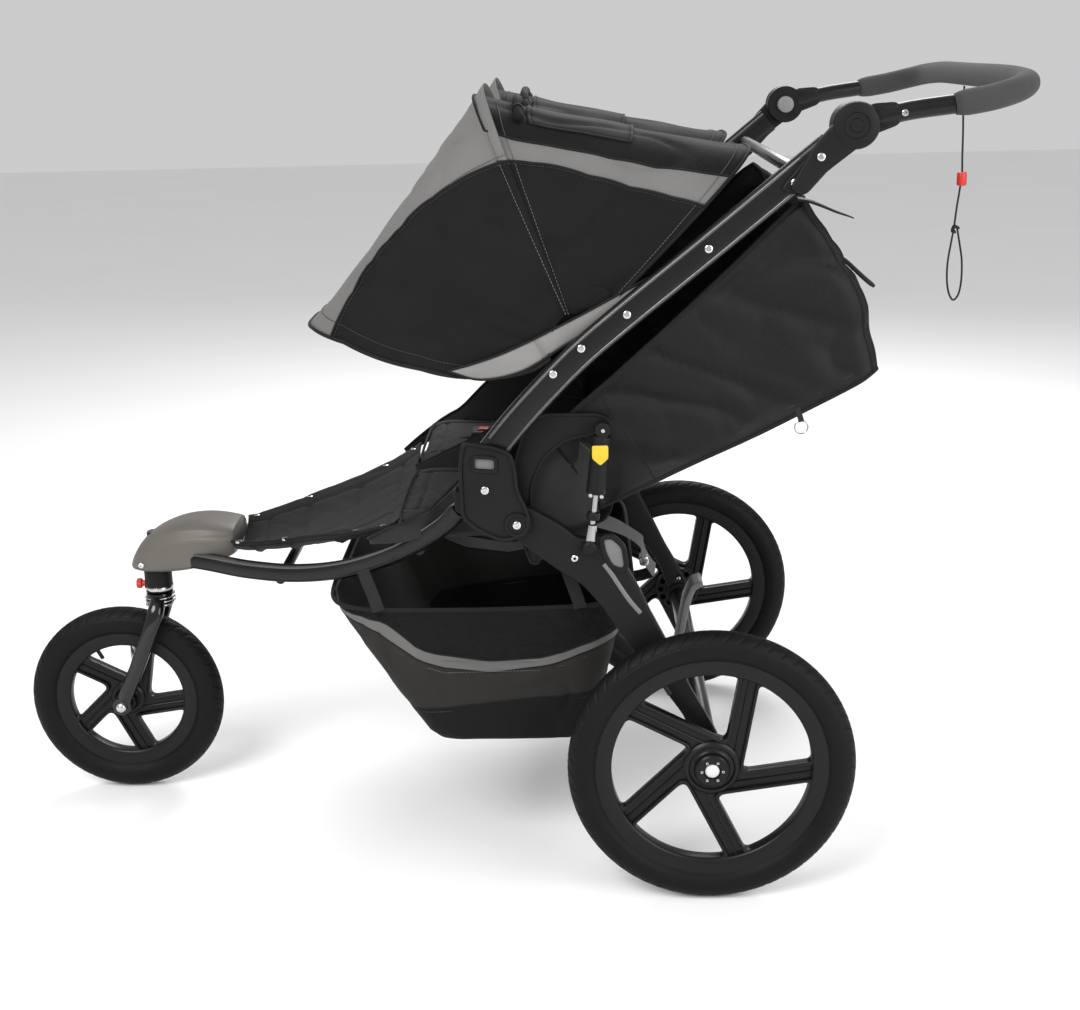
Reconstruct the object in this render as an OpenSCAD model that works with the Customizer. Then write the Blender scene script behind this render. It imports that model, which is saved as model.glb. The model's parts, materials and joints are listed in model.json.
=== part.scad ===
// Double jogging stroller: a three-wheel, two-seat folding push chair.
// X runs forward, Y to the rider's left, Z up. Lengths are millimetres.
// Every module is drawn from the rear axle and moved so that the origin
// is under the middle of the stroller, on the ground.

/* [Wheels] */
// Outside diameter of the rear tyres
rear_wheel_d = 406; // [396:1:410]
// Outside diameter of the front tyre
front_wheel_d = 316; // [306:1:318]
// Width of the tyres
tyre_w = 44; // [40:1:45]
// Distance between the mid-planes of the rear wheels
rear_track = 754; // [752:2:790]
// Distance from the rear axle forward to the front axle
wheelbase = 935; // [930:1:950]
// Spokes in each wheel
spoke_count = 5; // [4:1:6]
// Width of a spoke
spoke_w = 32; // [24:1:36]

/* [Frame] */
// Height of the pivots that join the handlebar to the upper rails
handle_pivot_h = 1078; // [1070:1:1085]
// How far the pivots are behind the rear axle
handle_pivot_back = 180; // [175:1:190]
// Half the distance between the two upper rails
rail_y = 334; // [333.5:0.1:334]
// Width of the upper rails
rail_w = 22; // [20:0.5:22]
// Depth of the upper rails, seen from the side
rail_depth = 40; // [30:1:42]
// Radius of the lower rails
lower_rail_r = 14; // [12:0.5:15]
// Reach of the handlebar behind its pivots
handle_reach = 248; // [240:1:260]
// Radius of the foam grip
grip_r = 17; // [15:0.5:18]

/* [Seats] */
// Thickness of a seat base
seat_t = 26; // [18:1:28]
// Thickness of a seat back
back_t = 34; // [24:1:38]
// Slope of a reclined seat back above the horizontal
recline_slope = 27; // [25:1:29]
// Length of a seat back
back_len = 430; // [400:5:440]

/* [Canopies] */
// Distance from the canopy pivot to the brim
brim_r = 379; // [360:1:385]
// Distance from the canopy pivot to the top hoop
hoop_r = 353; // [340:1:356]
// Angle of the top hoop above the horizontal
hoop_angle = 68; // [62:1:72]
// Thickness of the canopy cloth with its lining
canopy_t = 3; // [2:0.5:4]

/* [Basket] */
// Half the width of the basket
basket_half_w = 284; // [240:2:290]
// Thickness of the basket cloth
basket_t = 4; // [3:0.5:5]

/* [Hidden] */
$fn = 48;
fit_gap = 0.05;      // radial clearance of a running fit
cloth_gap = 4;       // space between a cloth piece and its neighbour

rear_r = rear_wheel_d / 2;
front_r = front_wheel_d / 2;
wheel_y = rear_track / 2;
x_mid = (wheelbase + front_r - handle_pivot_back - handle_reach) / 2;

// Pivots, seen from the side: distance forward of the rear axle, height
arm_pivot = [265, 556];
fold_pivot = [300, 640];
canopy_pivot = [177, 805];
recline_pivot = [150, 552];
steer_x = 866;
pin_r = 6;

// Heights along the steering column
head_bottom = 345;
head_top = 446;
crown_top = 343;
crown_bottom = 318;

// Route of a lower rail, from the nose back to the side plate
lower_rail_route = [
    [812, 36, 412], [760, 62, 412], [690, 106, 414], [607, 150, 422],
    [522, 200, 446], [439, 262, 490], [375, 310, 540], [343, 332, 575]
];
// Route of an upper rail, from the fold hinge up to the handlebar
upper_rail_route = [
    [300, 652], [262, 698], [216, 747], [172, 790], [112, 840],
    [5, 925], [-99, 1009], [-152, 1052]
];
// Side view of a swing arm, from its pivot down to the rear axle
swing_arm_outline = [
    [276, 574], [252, 579], [206, 552], [181, 530], [150, 534], [134, 533],
    [119, 519], [115, 488], [97, 454], [84, 424], [56, 368], [24, 300], [-6, 246],
    [-20, 214], [-18, 192], [18, 192], [20, 214], [36, 262], [70, 312], [110, 366],
    [150, 430], [179, 465], [213, 487], [256, 521], [279, 540]
];
// Side view of a side plate
side_plate_outline = [
    [336, 676], [290, 667], [269, 658], [263, 633], [262, 605], [250, 580],
    [245, 558], [254, 541], [272, 533], [290, 533], [320, 548], [341, 566], [342, 640]
];
// Route of the wrist strap: down from the handlebar to a hand loop
wrist_route = [
    [-400, 0, 1112], [-400, 1, 1080], [-401, 2, 1045], [-402, 1, 1010],
    [-403, 0, 985], [-401, -1, 960], [-398, -1, 935], [-395, 0, 905],
    [-391, 2, 880], [-387, 5, 855], [-386, 8, 830], [-389, 10, 808],
    [-396, 11, 796], [-404, 10, 804], [-408, 8, 825], [-408, 5, 855],
    [-404, 3, 880], [-399, 2, 905]
];
wrist_strap_r = 1.5;

// ---- Helpers ---------------------------------------------------------

function unit(v) = v / norm(v);
function along(p, i) = unit(p[min(i + 1, len(p) - 1)] - p[max(i - 1, 0)]);
function bulge(x, power) = sign(x) * pow(abs(x), power);
function ring(p, i, r, n, up, power) =
    let (t = along(p, i), u = unit(cross(up, t)), v = cross(t, u))
    [for (k = [0 : n - 1])
        p[i] + r[0] * bulge(cos(360 * k / n), power) * u + r[1] * bulge(sin(360 * k / n), power) * v];

// A point on the smooth curve through four points
function curve_point(a, b, c, d, t) =
    0.5 * (2 * b + (c - a) * t + (2 * a - 5 * b + 4 * c - d) * t * t
    + (3 * b - a - 3 * c + d) * t * t * t);
function smooth(p, n) = [
    for (i = [0 : len(p) - 2], k = [0 : n - 1])
        curve_point(p[max(i - 1, 0)], p[i], p[i + 1], p[min(i + 2, len(p) - 1)], k / n),
    p[len(p) - 1]
];

// A bar swept along points. r is its half size across and along the direction up,
// which the points never follow. A power under 1 squares the section.
module sweep_bar(p, r, n, up, power) {
    m = len(p);
    points = [for (i = [0 : m - 1]) each ring(p, i, r, n, up, power)];
    faces = concat(
        [[for (k = [0 : n - 1]) k]],
        [for (i = [0 : m - 2], k = [0 : n - 1])
            [i * n + k, (i + 1) * n + k, (i + 1) * n + (k + 1) % n, i * n + (k + 1) % n]],
        [[for (k = [n - 1 : -1 : 0]) (m - 1) * n + k]]
    );
    polyhedron(points, faces);
}

module sweep(p, r, n = 14, up = [0, 1, 0]) {
    sweep_bar(p, [r, r], n, up, 1);
}

// A closed wall between an outer and an inner grid of points
module wall(outer, inner) {
    m = len(outer);
    n = len(outer[0]);
    o = m * n;
    points = concat([for (row = outer) each row], [for (row = inner) each row]);
    faces = concat(
        [for (i = [0 : m - 2], k = [0 : n - 2])
            [i * n + k, (i + 1) * n + k, (i + 1) * n + k + 1, i * n + k + 1]],
        [for (i = [0 : m - 2], k = [0 : n - 2])
            [o + i * n + k, o + i * n + k + 1, o + (i + 1) * n + k + 1, o + (i + 1) * n + k]],
        [for (k = [0 : n - 2]) [k, k + 1, o + k + 1, o + k]],
        [for (k = [0 : n - 2]) let (e = (m - 1) * n + k) [e + 1, e, o + e, o + e + 1]],
        [for (i = [0 : m - 2]) [(i + 1) * n, i * n, o + i * n, o + (i + 1) * n]],
        [for (i = [0 : m - 2]) let (e = i * n + n - 1) [e, e + n, o + e + n, o + e]]
    );
    polyhedron(points, faces);
}

// A straight round bar between two points
module rod(a, b, r) {
    v = b - a;
    translate(a)
        rotate([0, acos(v[2] / norm(v)), atan2(v[1], v[0])])
        cylinder(h = norm(v), r = r);
}

// A round bar across the stroller, at a side-view place, from y0 to y1
module cross_bar(place, y0, y1, r) {
    translate([place[0], y1, place[1]])
        rotate([90, 0, 0])
        cylinder(h = y1 - y0, r = r);
}

// A side-view outline made thick from y0 to y1
module plate(y0, y1) {
    translate([0, y1, 0])
        rotate([90, 0, 0])
        linear_extrude(y1 - y0)
        children();
}

// Everything is drawn on the left, and mirrored for the right
module on_side(left) {
    translate([-x_mid, 0, 0])
        mirror([0, left ? 0 : 1, 0])
        children();
}

module from_axle() {
    translate([-x_mid, 0, 0]) children();
}

// ---- Frame -----------------------------------------------------------

module lower_rail(left) {
    color("#26282a") on_side(left)
        sweep(smooth(lower_rail_route, 3), lower_rail_r, 16, [0, 0, 1]);
}
module lower_rail_left() { lower_rail(true); }
module lower_rail_right() { lower_rail(false); }

module nose_casting() {
    color("#1f2022") from_axle() difference() {
        union() {
            translate([steer_x, 0, head_bottom]) cylinder(h = head_top - head_bottom, r = 22);
            translate([790, -48, 398]) cube([60, 96, 28]);
        }
        translate([steer_x, 0, head_bottom - 1])
            cylinder(h = head_top - head_bottom + 2, r = 12 + fit_gap);
        translate([steer_x, 0, 357]) rotate([0, 90, 0]) cylinder(h = 30, r = 5 + fit_gap);
    }
}

module nose_form(inset) {
    hull() {
        translate([872, 0, 386 - inset]) cylinder(h = 34, r = 32 - inset);
        translate([842, 0, 390 - inset]) cylinder(h = 64, r = 38 - inset);
        translate([790, 0, 400 - inset]) cylinder(h = 71, r = 46 - inset);
        translate([752, 30, 404 - inset]) cylinder(h = 54, r = 24 - inset);
        translate([752, -30, 404 - inset]) cylinder(h = 54, r = 24 - inset);
    }
}

module nose_cover() {
    color("#55504a") from_axle() difference() {
        nose_form(0, $fn = 32);
        nose_form(4, $fn = 32);
        translate([steer_x, 0, head_bottom])
            cylinder(h = head_top - head_bottom + 4, r = 23);
        translate([786, -52, 380]) cube([68, 104, 50]);
        for (left = [0, 1]) mirror([0, left, 0])
            sweep(lower_rail_route, lower_rail_r + 1.5, 12, [0, 0, 1]);
    }
}

module side_plate(left) {
    color("#1d1e20") on_side(left) difference() {
        union() {
            plate(346, 355) polygon(side_plate_outline);
            cross_bar(arm_pivot, 313, 347, pin_r);
            cross_bar(fold_pivot, 320, 347, pin_r);
            plate(321, 346) polygon([[326, 560], [350, 575], [352, 604], [330, 600]]);
        }
        plate(350, 356) translate([290, 632]) square([32, 19]);
    }
}
module side_plate_left() { side_plate(true); }
module side_plate_right() { side_plate(false); }

module frame_cross_tubes() {
    color("#26282a") from_axle() {
        cross_bar([408, 501], -286, 286, 9);
        cross_bar([640, 406], -134, 134, 8);
    }
}

module screw_head(place, y) {
    translate([place[0], y, place[1]]) rotate([-90, 0, 0]) cylinder(h = 3, r1 = 6, r2 = 4);
}

module frame_screws() {
    color("#c8c8c0") from_axle() for (left = [0, 1]) mirror([0, left, 0]) {
        screw_head([307, 606], 355);
        screw_head([265, 556], 355);
    }
}

module seat_base(left) {
    color("#202424") on_side(left) difference() {
        plate(12, 306) polygon([
            [150, 548 - seat_t], [410, 552 - seat_t], [436, 540 - seat_t], [446, 534],
            [436, 550], [410, 552], [150, 540]
        ]);
        translate([340, 276, 480]) cube([120, 40, 100]);
    }
}
module seat_base_left() { seat_base(true); }
module seat_base_right() { seat_base(false); }

// Floor between the lower rails: place forward, height, half width
footwell_rows = [[722, 437, 68], [660, 440, 100], [600, 448, 134], [530, 466, 176], [462, 500, 226]];
module footwell() {
    sag = [8, 16, 22, 22, 14];
    function row(i, drop) = [
        for (k = [-4 : 4])
            let (r = footwell_rows[i], f = k / 4)
            [r[0], r[2] * f, r[1] - sag[i] * (1 - f * f) - drop]
    ];
    color("#1c2020") from_axle() wall(
        [for (i = [0 : 4]) row(i, 0)],
        [for (i = [0 : 4]) row(i, 5)]
    );
}

basket_outline = [[96, 417], [155, 189], [417, 194], [560, 414]];
module basket() {
    t = basket_t;
    color("#2a2a28") from_axle() difference() {
        plate(-basket_half_w, basket_half_w) polygon(basket_outline);
        plate(-basket_half_w + t, basket_half_w - t)
            polygon([[96 + t, 418], [155 + t, 189 + t], [417 - t, 194 + t], [560 - 1.5 * t, 418]]);
    }
}

// ---- Seat buckles ----------------------------------------------------

module buckle(left) {
    color("#2c2c2e") on_side(left) difference() {
        translate([316, 134, 552.3]) cube([44, 50, 14]);
        translate([328, 149, 560]) cube([20, 20, 10]);
    }
}
module buckle_left() { buckle(true); }
module buckle_right() { buckle(false); }

module buckle_button(left) {
    color("#b02a2a") on_side(left)
        translate([328.3, 149.3, 563]) cube([19.4, 19.4, 5]);
}
module buckle_button_left() { buckle_button(true); }
module buckle_button_right() { buckle_button(false); }

// ---- Front wheel and steering ----------------------------------------

fork_y = 37;
module fork() {
    color("#1b1c1e") from_axle() difference() {
        union() {
            translate([steer_x, 0, crown_bottom + 2]) cylinder(h = head_top - crown_bottom, r = 12);
            translate([steer_x, 0, crown_bottom]) cylinder(h = crown_top - crown_bottom, r = 22);
            for (left = [0, 1]) mirror([0, left, 0]) {
                translate([steer_x, 18, crown_bottom + 12]) sphere(14);
                sweep(smooth([
                    [866, 20, 332], [868, 32, 316], [878, 37, 292],
                    [905, fork_y, 226], [930, fork_y, 170]
                ], 3), 10.5, 14, [1, 0, 0]);
                cross_bar([wheelbase, front_r], 31, 44, 16);
            }
        }
        cross_bar([wheelbase, front_r], -60, 60, 5 + fit_gap);
    }
}

module steering_spring() {
    color("#c8c8c0") from_axle() for (z = [323, 333, 340])
        translate([steer_x, 0, z]) rotate_extrude() translate([23.4, 0]) circle(1.2, $fn = 16);
}

module front_axle() {
    color("#b8b8b4") from_axle() {
        cross_bar([wheelbase, front_r], -48.5, 52, 5);
        cross_bar([wheelbase, front_r], 44.1, 50, 9);
        translate([wheelbase - 3, -61, front_r - 5]) cube([6, 13, 10]);
        translate([wheelbase - 9, -56, front_r]) rotate([0, 90, 0]) cylinder(h = 18, r = 2.5);
    }
}

module qr_lever() {
    color("#b8b8b4") from_axle() difference() {
        union() {
            translate([wheelbase - 8, -56, front_r]) rotate([0, 90, 0]) cylinder(h = 16, r = 7);
            translate([wheelbase - 8, -60, front_r]) cube([16, 7, 74]);
        }
        translate([wheelbase - 3.5, -70, front_r - 20]) cube([7, 30, 30]);
        translate([wheelbase - 12, -56, front_r])
            rotate([0, 90, 0]) cylinder(h = 24, r = 2.5 + fit_gap);
    }
}

module swivel_lock_knob() {
    color("#be2828") from_axle() translate([879, 0, 357]) rotate([0, 90, 0]) {
        cylinder(h = 15, r = 5);
        translate([0, 0, 14]) cylinder(h = 9, r = 8);
    }
}

// ---- Wheels ----------------------------------------------------------

// Side view of a spoked wheel; the spokes pass the hub on one side like a pinwheel
module spoked_disc(rim_in, rim_out, hub_r, offset_y, turn) {
    difference() {
        circle(rim_out);
        circle(rim_in);
    }
    circle(hub_r);
    for (k = [0 : spoke_count - 1]) rotate(turn - 360 / spoke_count * k)
        translate([0, offset_y - spoke_w / 2]) square([rim_in - 2, spoke_w]);
}

// A rim with its hub, centred on the axle's mid-plane and turning about Y
module rim(r, section, hub_r, hub_half, bore_r, turn) {
    bed = r - 2 * section + 7;
    rim_in = r - 2 * section - 18;
    rotate([90, 0, 0]) difference() {
        union() {
            translate([0, 0, -9]) linear_extrude(18)
                spoked_disc(rim_in, bed - 4, hub_r, hub_r * 0.7, turn);
            rotate_extrude($fn = 96) polygon([
                [rim_in, -11.5], [rim_in, 11.5], [bed - 8, 13], [bed, 13],
                [bed, 9], [bed - 5, 0], [bed, -9], [bed, -13], [bed - 8, -13]
            ]);
            translate([0, 0, -hub_half]) cylinder(h = 2 * hub_half, r = hub_r * 0.6);
        }
        translate([0, 0, -hub_half - 1]) cylinder(h = 2 * hub_half + 2, r = bore_r);
    }
}

module tyre(r, section) {
    bed = r - 2 * section + 7;
    rotate([90, 0, 0]) rotate_extrude($fn = 96) difference() {
        translate([r - section, 0]) circle(section, $fn = 40);
        translate([r - section + 1, 0]) circle(section - 5, $fn = 32);
        translate([0, -13.3]) square([bed + 0.3, 26.6]);
    }
}

front_section = tyre_w / 2 + 1;
module front_rim() {
    color("#18191a") from_axle() translate([wheelbase, 0, front_r])
        rim(front_r, front_section, 28, 25.5, 5 + fit_gap, 100);
}
module front_tyre() {
    color("#2a2d2f") from_axle() translate([wheelbase, 0, front_r])
        tyre(front_r, front_section);
}

brake_hole_ring = 31;   // distance of the brake pin from the axle
module rear_rim(left) {
    color("#18191a") on_side(left) translate([0, wheel_y, rear_r]) difference() {
        union() {
            rim(rear_r, tyre_w / 2, 40, 19.5, 8 + fit_gap, 100);
            rotate([90, 0, 0]) translate([0, 0, 9]) cylinder(h = 14, r = 40);
        }
        cross_bar([0, 0], 15, 30, 11);
        cross_bar([0, 0], -30, 0, 8 + fit_gap);
        for (a = [0 : 30 : 330]) rotate([0, a, 0])
            cross_bar([0, brake_hole_ring], -30, -14, 5);
    }
}
module rear_rim_left() { rear_rim(true); }
module rear_rim_right() { rear_rim(false); }

module rear_tyre(left) {
    color("#2a2d2f") on_side(left) translate([0, wheel_y, rear_r])
        tyre(rear_r, tyre_w / 2);
}
module rear_tyre_left() { rear_tyre(true); }
module rear_tyre_right() { rear_tyre(false); }

// ---- Rear suspension -------------------------------------------------

shock_top = [146, 687];
shock_foot = [166, 520];
shock_y = 343;
function on_shock(f) = [
    shock_top[0] + (shock_foot[0] - shock_top[0]) * f, shock_y,
    shock_top[1] + (shock_foot[1] - shock_top[1]) * f
];

module shock_carrier() {
    color("#1d1e20") from_axle() {
        for (left = [0, 1]) mirror([0, left, 0]) difference() {
            union() {
                plate(313.5, 317.5) polygon([
                    [281, 556], [262, 672], [232, 706], [150, 702], [132, 690], [136, 672],
                    [218, 520], [234, 484], [250, 486], [262, 540]
                ]);
                cross_bar(arm_pivot, 313.5, 332, 15);
                cross_bar(shock_top, 313.5, 333, 5);
            }
            cross_bar(arm_pivot, 300, 340, pin_r + fit_gap);
        }
        cross_bar([238, 499], -315, 315, 9);
    }
}

module shock_body(left) {
    color("#222426") on_side(left) difference() {
        union() {
            rod(on_shock(0.06), on_shock(0.52), 13.5);
            cross_bar(shock_top, 333, 356, 11);
        }
        rod(on_shock(0.2), on_shock(0.7), 10.5);
    }
}
module shock_body_left() { shock_body(true); }
module shock_body_right() { shock_body(false); }

module shock_rods() {
    color("#9a9c9c") from_axle() for (left = [0, 1]) mirror([0, left, 0]) {
        rod(on_shock(0.5), on_shock(1), 4);
        rod(on_shock(0.72), on_shock(0.76), 9);
        cross_bar(shock_foot, 336, 356, 10.5);
    }
}

module swing_arm(left) {
    color("#17181a") on_side(left) difference() {
        union() {
            plate(322, 342) polygon(swing_arm_outline);
            cross_bar(arm_pivot, 332.3, 345, 22);
            cross_bar([0, rear_r], 318, 344, 22);
            cross_bar([0, rear_r + brake_hole_ring], 318, 344, 9);
            plate(318, 344) translate([-9, rear_r]) square([18, brake_hole_ring]);
        }
        cross_bar(arm_pivot, 300, 350, pin_r + fit_gap);
        cross_bar(arm_pivot, 300, 332.3, 23);
        cross_bar([0, rear_r], 300, 350, 8 + fit_gap);
        cross_bar([0, rear_r + brake_hole_ring], 300, 350, 4 + fit_gap);
    }
}
module swing_arm_left() { swing_arm(true); }
module swing_arm_right() { swing_arm(false); }

pedal_pivot = [26, 214];
module rear_axle() {
    color("#26282a") from_axle() {
        cross_bar([0, rear_r], -318, 318, 15);
        for (left = [0, 1]) mirror([0, left, 0]) {
            cross_bar([0, rear_r], 317, wheel_y + 18, 8);
            cross_bar([0, rear_r], wheel_y + 15.2, wheel_y + 19, 10.5);
        }
        for (y = [-34, 28]) difference() {
            translate([0, y, rear_r - 8]) cube([34, 6, 24]);
            cross_bar(pedal_pivot, -60, 60, 4 + fit_gap);
        }
    }
}

module brake_pedal() {
    color("#4a4c4e") from_axle() {
        cross_bar(pedal_pivot, -40, 40, 4);
        cross_bar(pedal_pivot, -27, 27, 8);
        plate(-24, 24) polygon([
            [22, 220], [32, 218], [24, 262], [14, 318], [2, 346], [-14, 352],
            [-18, 344], [-4, 336], [4, 312], [14, 262]
        ]);
    }
}

module brake_pin(left) {
    color("#b8b8b4") on_side(left)
        cross_bar([0, rear_r + brake_hole_ring], 322, wheel_y - 26, 4);
}
module brake_pin_left() { brake_pin(true); }
module brake_pin_right() { brake_pin(false); }

// ---- Upper frame -----------------------------------------------------

handle_pivot = [-handle_pivot_back, handle_pivot_h];

module upper_rail(left) {
    color("#26282a") on_side(left) difference() {
        union() {
            sweep_bar(
                smooth([for (p = upper_rail_route) [p[0], rail_y, p[1]]], 2),
                [rail_depth / 2, rail_w / 2], 20, [0, 1, 0], 0.7
            );
            cross_bar(fold_pivot, 320, 345.5, 18);
            cross_bar(handle_pivot, 346.2, 360, 30);
            plate(336, 360) polygon([
                [-88, 992], [-128, 1062], [-160, 1098], [-196, 1060], [-140, 1012], [-112, 978]
            ]);
            cross_bar(handle_pivot, 340.5, 347, 8);
        }
        cross_bar(fold_pivot, 300, 360, pin_r + fit_gap);
        difference() {
            cross_bar(handle_pivot, 310, 346.2, 31);
            cross_bar(handle_pivot, 340.5, 347, 8);
        }
    }
}
module upper_rail_left() { upper_rail(true); }
module upper_rail_right() { upper_rail(false); }

module upper_cross_tube() {
    color("#26282a") from_axle() cross_bar([-112, 1019], -rail_y, rail_y, 9);
}

module rail_screws() {
    color("#c8c8c0") from_axle() for (left = [0, 1]) mirror([0, left, 0])
        for (p = [[-132, 1037], [-99, 1009], [5, 925], [112, 841], [173, 797], [211, 763]])
            screw_head(p, rail_y + rail_w / 2 - 1);
}

// A point of a canopy hoop: angle and reach in side view, then across at t
function hoop_point(a, reach, half_w, t) = [
    canopy_pivot[0] + cos(a) * reach * pow(sin(t), 0.62),
    170 + half_w * (cos(t) < 0 ? -1 : 1) * pow(abs(cos(t)), 0.62),
    canopy_pivot[1] + sin(a) * reach * pow(sin(t), 0.62)
];
brim_angle = 1.5;
rear_angle = 135;
hoop_turns = [for (k = [0 : 18]) 6 + 168 * k / 18];

// Cloth between two hoops, as a grid of points
function cloth_grid(a0, r0, a1, r1, half_w) = [
    for (s = [0 : 0.25 : 1]) [
        for (t = hoop_turns)
            (1 - s) * hoop_point(a0, r0, half_w, t) + s * hoop_point(a1, r1, half_w, t)
    ]
];

module canopy_front(left) {
    t = canopy_t;
    color("#97908f") on_side(left) wall(
        cloth_grid(brim_angle, brim_r, hoop_angle, hoop_r, 162),
        cloth_grid(brim_angle + 0.5, brim_r - t, hoop_angle, hoop_r - t * 1.3, 162 - t)
    );
}
module canopy_front_left() { canopy_front(true); }
module canopy_front_right() { canopy_front(false); }

module canopy_bow(left) {
    route = [for (t = hoop_turns) hoop_point(brim_angle + 2, brim_r - 20, 148, t)];
    color("#2c2c2e") on_side(left) sweep(route, 3.5, 8, [0, 0, 1]);
}
module canopy_bow_left() { canopy_bow(true); }
module canopy_bow_right() { canopy_bow(false); }

module canopy_rear(left) {
    t = canopy_t;
    w = 162 - t - cloth_gap;
    color("#97908f") on_side(left) wall(
        cloth_grid(hoop_angle + 0.8, hoop_r - 8, rear_angle, 338, w),
        cloth_grid(hoop_angle + 0.8, hoop_r - 8 - t, rear_angle, 338 - t, w - t)
    );
}
module canopy_rear_left() { canopy_rear(true); }
module canopy_rear_right() { canopy_rear(false); }

// Cloth that hangs from the upper rails: a side panel and a rear panel
bag_outline = [
    [136, 566], [-60, 664], [-232, 752], [-208, 850], [-132, 985],
    [-96, 962], [196, 694], [228, 640], [206, 590]
];
module seat_bag(left) {
    color("#171b1b") on_side(left) {
        plate(310, 313) polygon(bag_outline);
        plate(12, 306) polygon([
            [-236, 752], [-212, 850], [-134, 990], [-131, 988], [-208, 850], [-232, 753]
        ]);
    }
}
module seat_bag_left() { seat_bag(true); }
module seat_bag_right() { seat_bag(false); }

// ---- Handlebar -------------------------------------------------------

bar_x = -handle_pivot_back - handle_reach + grip_r;
bar_z = 1128;
// One side of the bar's route, from its pivot to the middle
half_bar = [
    [-200, 345, 1083], [-250, 346, 1094], [-305, 346, 1101], [-350, 343, 1108],
    [-384, 331, 1116], [-404, 306, 1122], [bar_x, 270, bar_z - 3], [bar_x, 180, bar_z],
    [bar_x, 0, bar_z]
];
function mirrored(p) = [p[0], -p[1], p[2]];
function whole_bar(first) = concat(
    [for (i = [first : len(half_bar) - 1]) half_bar[i]],
    [for (i = [len(half_bar) - 2 : -1 : first]) mirrored(half_bar[i])]
);

module handle_tube() {
    color("#2a2c2e") from_axle() for (left = [0, 1]) mirror([0, left, 0]) difference() {
        union() {
            cross_bar(handle_pivot, 322, 345.9, 30);
            sweep([for (i = [0 : 2]) half_bar[i]] - [[0, 12, 0], [0, 10, 0], [0, 4, 0]], 12.5, 16, [0, 0, 1]);
        }
        cross_bar(handle_pivot, 340.2, 350, 8 + fit_gap);
        cross_bar(handle_pivot, 310, 334.2, 14.2);
    }
}

module handle_grip() {
    color("#3a3739") from_axle()
        sweep(smooth(whole_bar(2), 3), grip_r, 16, [0, 0, 1]);
}

module handle_button(left) {
    color("#6e7072") on_side(left) cross_bar(handle_pivot, 315, 328, 14);
}
module handle_button_left() { handle_button(true); }
module handle_button_right() { handle_button(false); }

module wrist_strap() {
    color("#1c1c1e") from_axle() sweep(smooth(wrist_route, 3), wrist_strap_r, 8);
}

module wrist_strap_slider() {
    color("#be2828") from_axle() difference() {
        translate([-411, -8, 966]) cube([16, 16, 22]);
        translate([-406.5, -3.5, 960]) cube([7, 7, 40]);
    }
}

// ---- Seat backs ------------------------------------------------------

// A point on the reclined seat back: distance from its hinge, then height above its underside
function on_back(s, h) = [
    recline_pivot[0] - cos(recline_slope) * s + sin(recline_slope) * h,
    recline_pivot[1] + sin(recline_slope) * s + cos(recline_slope) * h
];

module seat_back(left) {
    color("#1b2020") on_side(left) plate(14, 304) polygon([
        on_back(8, 4), on_back(back_len, 0), on_back(back_len, back_t),
        on_back(60, back_t), on_back(8, back_t - 8)
    ]);
}
module seat_back_left() { seat_back(true); }
module seat_back_right() { seat_back(false); }

module harness(left) {
    color("#3c3c3e") on_side(left) for (y = [112, 176]) plate(y, y + 30) polygon([
        on_back(90, back_t + 0.5), on_back(300, back_t + 0.5),
        on_back(300, back_t + 6), on_back(90, back_t + 6)
    ]);
}
module harness_left() { harness(true); }
module harness_right() { harness(false); }

// ---- Parts -----------------------------------------------------------
lower_rail_left();
lower_rail_right();
nose_casting();
nose_cover();
side_plate_left();
side_plate_right();
frame_cross_tubes();
frame_screws();
seat_base_left();
seat_base_right();
footwell();
basket();
buckle_left();
buckle_right();
buckle_button_left();
buckle_button_right();
fork();
steering_spring();
front_axle();
front_rim();
front_tyre();
qr_lever();
swivel_lock_knob();
shock_carrier();
shock_body_left();
shock_body_right();
swing_arm_left();
swing_arm_right();
rear_axle();
shock_rods();
rear_rim_left();
rear_rim_right();
rear_tyre_left();
rear_tyre_right();
brake_pedal();
brake_pin_left();
brake_pin_right();
upper_rail_left();
upper_rail_right();
upper_cross_tube();
rail_screws();
canopy_rear_left();
canopy_rear_right();
seat_bag_left();
seat_bag_right();
handle_tube();
handle_grip();
handle_button_left();
handle_button_right();
wrist_strap();
wrist_strap_slider();
seat_back_left();
seat_back_right();
harness_left();
harness_right();
canopy_front_left();
canopy_front_right();
canopy_bow_left();
canopy_bow_right();
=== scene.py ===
# %% [markdown]
# # A double jogging stroller
# Two seats side by side ride on a three-wheeled frame of black aluminium tube. The frame, its
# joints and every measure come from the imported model. This script dresses it: finer shapes for
# the hard parts, cloth for the soft ones, and a finish for each surface.

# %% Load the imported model
import json
import math
import bmesh
import bpy
import numpy as np
from mathutils import Matrix, Vector

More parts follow.
